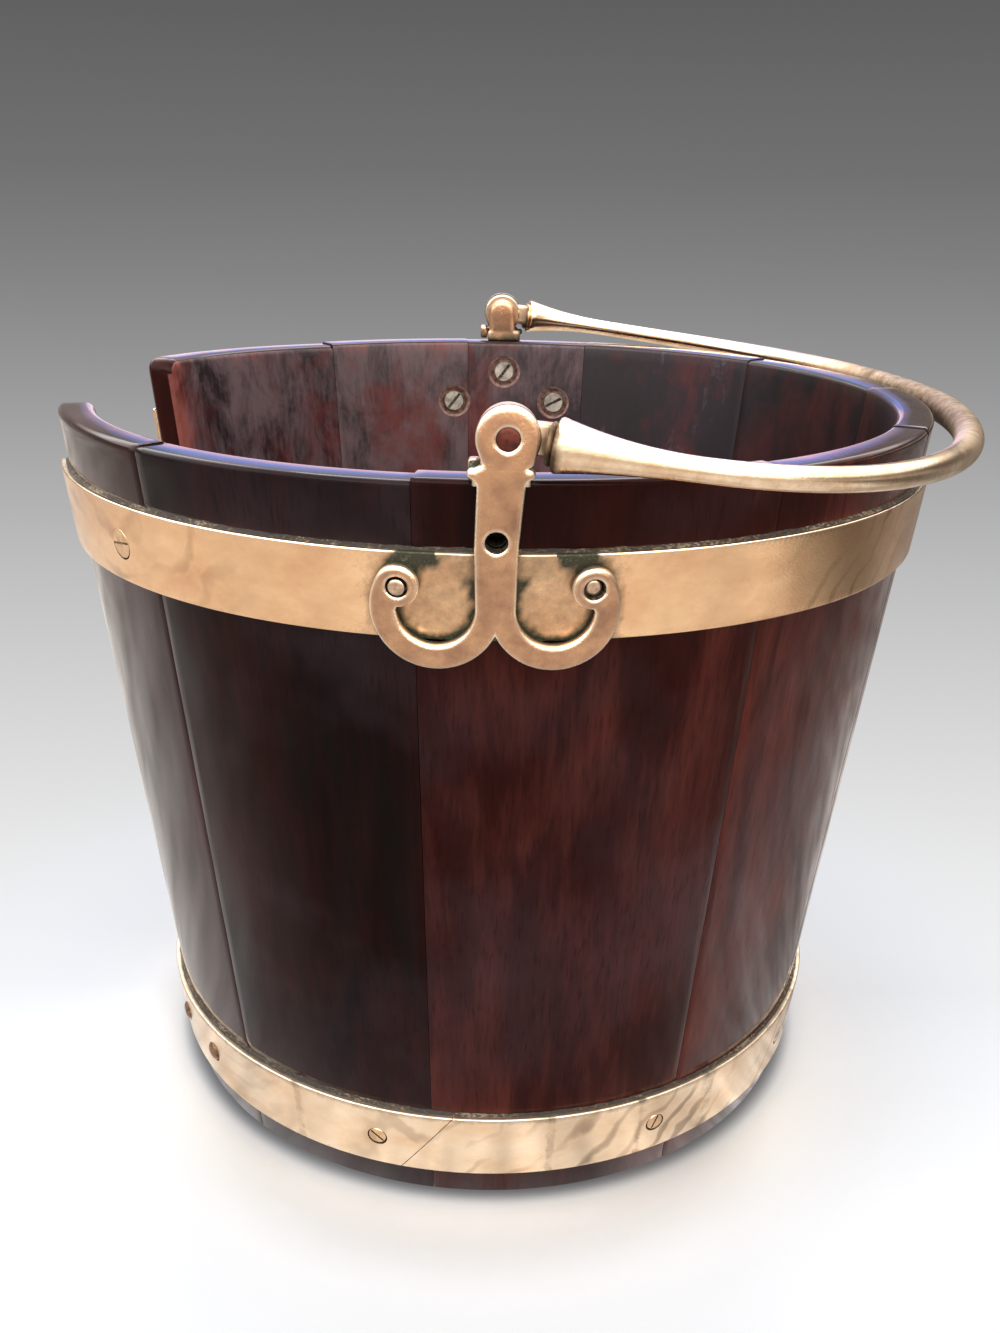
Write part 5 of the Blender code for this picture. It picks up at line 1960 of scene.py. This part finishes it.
    def make_pin(self, side: Side) -> None:
        """Build one pivot pin, riveted flush with the lug's face.

        Args:
            side: Lug that is meant.
        """
        face = LugCasting(self.finishes, side).face
        centre = (side.outward_x * PIVOT_ASIDE, -face, self.pivot_height + WALL.foot_level)
        place = Matrix.Rotation(math.radians(side.value), 4, "Z") @ Matrix.Translation(centre) @ FACING_FRONT
        radius = self.pin_radius
        crown = [(0.0, -0.0001), (0.8 * radius, -0.00015), (radius, -0.0004)]
        bm = lathe(crown + [(radius, self.pin_end), (0.0, self.pin_end)], 40, place)
        name = f"{side.label}_pivot_pin"
        hand_in(make_object(f"{name}_riveted", bm, [self.finishes.pin]), Body.BUCKET, Slot.PINS, name)


@dataclass
class Studio:
    """Pale floor, soft lamps, the surroundings that the metal and polish reflect, and the camera."""

    camera_above_floor: float = 0.38906
    camera_place: Point = (-0.00180, -0.57011)
    camera_turns: tuple = (0.00906, 0.36075, 0.016867)
    lens: float = 35.53
    aim: tuple = (0, 0, 0.15)
    floor_level: float = WALL.foot_level
    bounce_balance: tuple = (0.955, 1.0, 1.02)
    floor_greys: tuple = (
        (0.0, "#717171"),
        (0.0717, "#838383"),
        (0.109, "#8D8D8D"),
        (0.1473, "#979797"),
        (0.22, "#ABABAB"),
        (0.296, "#BEBEBE"),
        (0.376, "#CECECE"),
        (0.461, "#DCDCDC"),
        (0.55, "#E9E9E9"),
        (0.645, "#F2F2F2"),
        (0.746, "#F8F8F8"),
        (1.0, "#FEFEFE"),
    )
    sky: tuple = (
        (0.0, "#C9C4D2"),
        (0.13, "#D2A9BC"),
        (0.21, "#7593E6"),
        (0.25, "#7C95DC"),
        (0.34, "#8A8C9E"),
        (0.60, "#A4A9BE"),
        (0.74, "#FFFFFF"),
    )
    room: tuple = ((0.0, "#C9BFB6"), (0.2, "#A3998E"), (0.30, "#948A7E"), (0.44, "#FFFCF6"))

    def make(self) -> None:
        """Set up everything round the object."""
        self.make_floor()
        self.make_world()
        self.make_lamps()
        self.make_camera()
        bpy.context.scene.view_settings.view_transform = "Standard"

    def make_floor(self) -> None:
        """Floor that runs from white in front to grey behind and keeps the object's shadow, with a painted contact
        shadow round the foot and a painted soft shadow in front.
        """
        bm = bmesh.new()
        bmesh.ops.create_circle(bm, cap_ends=True, radius=6.0, segments=96)
        bmesh.ops.translate(bm, verts=bm.verts, vec=(0, 0, self.floor_level))
        material = bpy.data.materials.new("studio_floor")
        material.use_nodes = True
        material.node_tree.nodes.clear()
        add = partial(add_node, material.node_tree)
        coords = add("TexCoord", out="Object")
        y = add("SeparateXYZ", {0: coords}, out="Y")
        reach = add("Math", {0: y, 1: 0.57}, operation="ADD")
        clear = add("Math", {0: reach, 1: 0.2}, operation="MAXIMUM")
        slope = add("Math", {0: self.camera_above_floor, 1: clear}, operation="DIVIDE")
        shade = add("ValToRGB", {"Fac": slope}, self.floor_greys)
        away = add("VectorMath", {0: coords}, out="Value", operation="LENGTH")
        far = add("MapRange", {"Value": away, "From Min": 0.15, "From Max": 0.36}, interpolation_type="SMOOTHSTEP")
        # Painted shadows: a dark ring round the foot and a soft oval in front of the bucket.
        painted_contact_shadow = add(
            "MapRange",
            {"Value": away, "From Min": 0.1435, "From Max": 0.1535, "To Min": 0.3, "To Max": 1.0},
            interpolation_type="SMOOTHSTEP",
        )
        oval = add("Mapping", {"Vector": coords, "Location": (0.04, 1.05, 0.0), "Scale": (1 / 0.125, 1 / 0.095, 0.0)})
        spread = add("VectorMath", {0: oval}, out="Value", operation="LENGTH")
        below = add(
            "MapRange",
            {"Value": spread, "From Min": 0.72, "From Max": 1.08, "To Min": 0.74, "To Max": 1.0},
            interpolation_type="SMOOTHSTEP",
        )
        shadow = add("Math", {0: painted_contact_shadow, 1: below}, operation="MULTIPLY")
        shade = add("VectorMath", {0: shade, "Scale": shadow}, operation="SCALE")
        own = add("MapRange", {"Value": far, "To Min": 0.30, "To Max": 1.0})
        near_share = add("MapRange", {"Value": far, "To Min": 0.98, "To Max": 0.0})
        front_share = add("MapRange", {"Value": y, "From Min": -0.16, "From Max": 0.0, "To Min": 1.0, "To Max": 0.58})
        lit_share = add("Math", {0: near_share, 1: front_share}, operation="MULTIPLY")
        caught = add("VectorMath", {0: shade, "Scale": lit_share}, operation="SCALE")
        caught = add("VectorMath", {0: caught, 1: self.bounce_balance}, operation="MULTIPLY")
        glow = add("Emission", {"Color": shade, "Strength": own})
        seen = add("BsdfDiffuse", {"Color": caught})
        both = add("AddShader", {0: glow, 1: seen})
        mirrored = self.floor_in_reflections(add, coords, away)
        lit = add("BsdfDiffuse", {"Color": "#B4B4B4"})
        path = add("LightPath").node.outputs
        hidden = add("MixShader", {0: path["Is Glossy Ray"], 1: lit, 2: mirrored})
        mixed = add("MixShader", {0: path["Is Camera Ray"], 1: hidden, 2: both})
        add("OutputMaterial", {"Surface": mixed})
        make_object("studio_floor", bm, [material])

    def floor_in_reflections(self, add: AddNode, coords: NodeSocket, away: NodeSocket) -> NodeSocket:
        """Floor as the brass mirrors it: bright near the bucket, streaked, and darker at the right.

        Args:
            add: Call that adds a node to the floor's material.
            coords: Socket of the place on the floor.
            away: Socket of the distance from the bucket's axis.

        Returns:
            Shader socket.
        """
        level = add("ValToRGB", {"Fac": away}, [(0.16, "#F4EEEA"), (0.6, "#FFF8F0"), (1.2, "#ECE2D8")])
        direction = add("VectorMath", {0: coords}, operation="NORMALIZE")
        x = add("SeparateXYZ", {0: direction}, out="X")
        climb = add("CombineXYZ", {"Z": away})
        skewed = add("VectorMath", {0: direction, 1: climb}, operation="ADD")
        streaks = add("TexNoise", {"Vector": skewed, "Scale": 7.0, "Detail": 4.0})
        streaked = add("MapRange", {"Value": streaks, "From Min": 0.3, "From Max": 0.7, "To Min": 0.66, "To Max": 1.36})
        right = add("MapRange", {"Value": x, "From Min": 0.90, "From Max": 0.995, "To Min": 1.0, "To Max": 0.5})
        diagonal = add("VectorMath", {0: coords, 1: (1, 1, 0)}, out="Value", operation="DOT_PRODUCT")
        beyond = add("MapRange", {"Value": diagonal, "From Min": 0.45, "From Max": 0.85, "To Min": 1.0, "To Max": 0.4})
        things = add("TexNoise", {"Vector": skewed, "Scale": 17.0, "Detail": 2.0})
        busy = add("MapRange", {"Value": things, "From Min": 0.36, "From Max": 0.64, "To Min": 0.72, "To Max": 1.15})
        at_right = add("MapRange", {"Value": x, "From Min": 0.3, "From Max": 0.7})
        varied = add("Mix", {MIX_SHARE: at_right, PLAIN_A: 1.0, PLAIN_B: busy}, data_type="FLOAT")
        strength = streaked
        for factor in (right, beyond, varied):
            strength = add("Math", {0: strength, 1: factor}, operation="MULTIPLY")
        return add("Emission", {"Color": level, "Strength": strength})

    def make_world(self) -> None:
        """Plain light all round, a grey backdrop for the camera, and sky and room for reflections."""
        world = bpy.data.worlds.new("studio")
        bpy.context.scene.world = world
        world.use_nodes = True
        world.node_tree.nodes.clear()
        add = partial(add_node, world.node_tree)
        direction = add("TexCoord", out="Generated")
        parts = add("SeparateXYZ", {0: direction}).node.outputs
        rise = add("MapRange", {"Value": parts["Z"], "From Min": -0.0715, "From Max": 0.108})
        backdrop = add("ValToRGB", {"Fac": rise}, [(0.0, "#838383"), (0.398, "#717171"), (1.0, "#5F5F5F")])
        around = self.surroundings(add, direction, parts)
        path = add("LightPath").node.outputs
        plain = add("Background", {"Color": "#F2F2F5", "Strength": 0.55})
        shown = add("Background", {"Color": backdrop, "Strength": 1.0})
        mirrored = add("Background", {"Color": around, "Strength": 1.5})
        with_gloss = add("MixShader", {0: path["Is Glossy Ray"], 1: plain, 2: mirrored})
        everything = add("MixShader", {0: path["Is Camera Ray"], 1: with_gloss, 2: shown})
        add("OutputWorld", {"Surface": everything})

    def surroundings(self, add: AddNode, direction: NodeSocket, parts: Sequence[NodeSocket]) -> NodeSocket:
        """Warm uneven room, darker at the right, with a bright window of blue sky behind the bucket.

        Args:
            add: Call that adds a node to the world.
            direction: Socket of the direction looked in.
            parts: Its components, by name.

        Returns:
            Colour socket.
        """
        x, y = parts["X"], parts["Y"]
        up = add("MapRange", {"Value": parts["Z"], "From Max": 0.9})
        sky = add("ValToRGB", {"Fac": up}, self.sky)
        room = add("ValToRGB", {"Fac": up}, self.room)
        cloud = add("TexNoise", {"Vector": direction, "Scale": 3.0, "Detail": 3.0, "Roughness": 0.55})
        uneven = add("MapRange", {"Value": cloud, "From Min": 0.3, "From Max": 0.7, "To Min": 0.6, "To Max": 1.3})
        right = add("MapRange", {"Value": x, "From Min": 0.2, "From Max": 0.85, "To Min": 1.0, "To Max": 0.58})
        before = add("MapRange", {"Value": y, "From Min": -0.4, "From Max": -0.8, "To Min": 1.0, "To Max": 2.3})
        fronted = add("Math", {0: uneven, 1: before}, operation="MULTIPLY")
        dimming = add("Math", {0: fronted, 1: right}, operation="MULTIPLY")
        overhead = add("MapRange", {"Value": up, "From Min": 0.31, "From Max": 0.48, "To Min": 1.0, "To Max": 2.8})
        level = add("Math", {0: dimming, 1: overhead}, operation="MULTIPLY")
        behind = add("MapRange", {"Value": y, "From Min": 0.0, "From Max": 0.5}, interpolation_type="SMOOTHSTEP")
        low_down = add("MapRange", {"Value": up, "From Min": 0.30, "From Max": 0.46, "To Min": -0.55, "To Max": 0.0})
        wall = add("Math", {0: low_down, 1: behind, 2: 1.0}, operation="MULTIPLY_ADD")
        level = add("Math", {0: level, 1: wall}, operation="MULTIPLY")
        dimmed = add("VectorMath", {0: room, "Scale": level}, operation="SCALE")
        middle = add("Math", {0: x}, operation="ABSOLUTE")
        in_window = add("MapRange", {"Value": middle, "From Min": 0.23, "From Max": 0.29, "To Min": 1.0, "To Max": 0.0})
        window = add("Math", {0: behind, 1: in_window}, operation="MULTIPLY")
        bright_sky = add("VectorMath", {0: sky, "Scale": 1.9}, operation="SCALE")
        return add("Mix", {MIX_SHARE: window, MIX_A: dimmed, MIX_B: bright_sky}, **COLOUR_MIX)

    def make_lamps(self) -> None:
        """Soft lamps overhead, at the left and at the right front."""
        lamps = (
            ("overhead_softbox", (0.05, 0.55, 1.4), 1.0, 22.0, "#F4F4FF"),
            ("left_softbox", (-1.3, -0.3, 0.9), 0.9, 7.5, "#E9EDFF"),
            ("front_softbox", (0.9, -1.4, 0.9), 1.0, 6.0, "#FFF4E8"),
        )
        for name, place, size, power, colour in lamps:
            lamp = bpy.data.lights.new(name, "AREA")
            lamp.shape = "SQUARE"
            lamp.size = size
            lamp.energy = power
            lamp.color = linear(colour)[:3]
            turn = (Vector(self.aim) - Vector(place)).to_track_quat("-Z", "Y").to_matrix().to_4x4()
            self.set_down(name, lamp, Matrix.Translation(place) @ turn)

    def make_camera(self) -> None:
        """Camera at the photograph's place, as fitted to it."""
        yaw, pitch, roll = self.camera_turns
        ahead = Vector((math.sin(yaw) * math.cos(pitch), math.cos(yaw) * math.cos(pitch), -math.sin(pitch)))
        level = Vector((math.cos(yaw), -math.sin(yaw), 0.0))
        above = level.cross(ahead)
        right = math.cos(roll) * level + math.sin(roll) * above
        up = math.cos(roll) * above - math.sin(roll) * level
        place = Matrix((right, up, -ahead)).transposed().to_4x4()
        place.translation = (*self.camera_place, self.camera_above_floor + self.floor_level)
        camera = bpy.data.cameras.new("camera")
        camera.lens = self.lens
        camera.sensor_width = 36.0
        bpy.context.scene.camera = self.set_down("camera", camera, place)

    def set_down(self, name: str, data: bpy.types.ID, place: Matrix) -> Object:
        """Object of a lamp or camera at its place.

        Args:
            name: Name of the object.
            data: Lamp or camera.
            place: Where it stands and how it is turned.

        Returns:
            The new object.
        """
        holder = bpy.data.objects.new(name, data)
        bpy.context.scene.collection.objects.link(holder)
        holder.matrix_world = place
        return holder


def main() -> None:
    """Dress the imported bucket, sub-assembly by sub-assembly."""
    logging.basicConfig(level=logging.INFO, format="%(name)s: %(message)s")
    random.seed(1795)
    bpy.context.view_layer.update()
    finishes = Finishes()
    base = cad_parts["base_board"]
    base.data.materials.clear()
    base.data.materials.append(finishes.board)
    for assembly in (
        StaveWall(finishes),
        Hoops(finishes),
        HoopScrews(finishes),
        LugCasting(finishes, Side.FRONT),
        LugCasting(finishes, Side.BACK),
        LugFasteners(finishes),
        Handle(finishes),
        Studio(),
    ):
        assembly.make()
        LOG.info("%s is done", type(assembly).__name__)


if __name__ == "__main__":
    main()
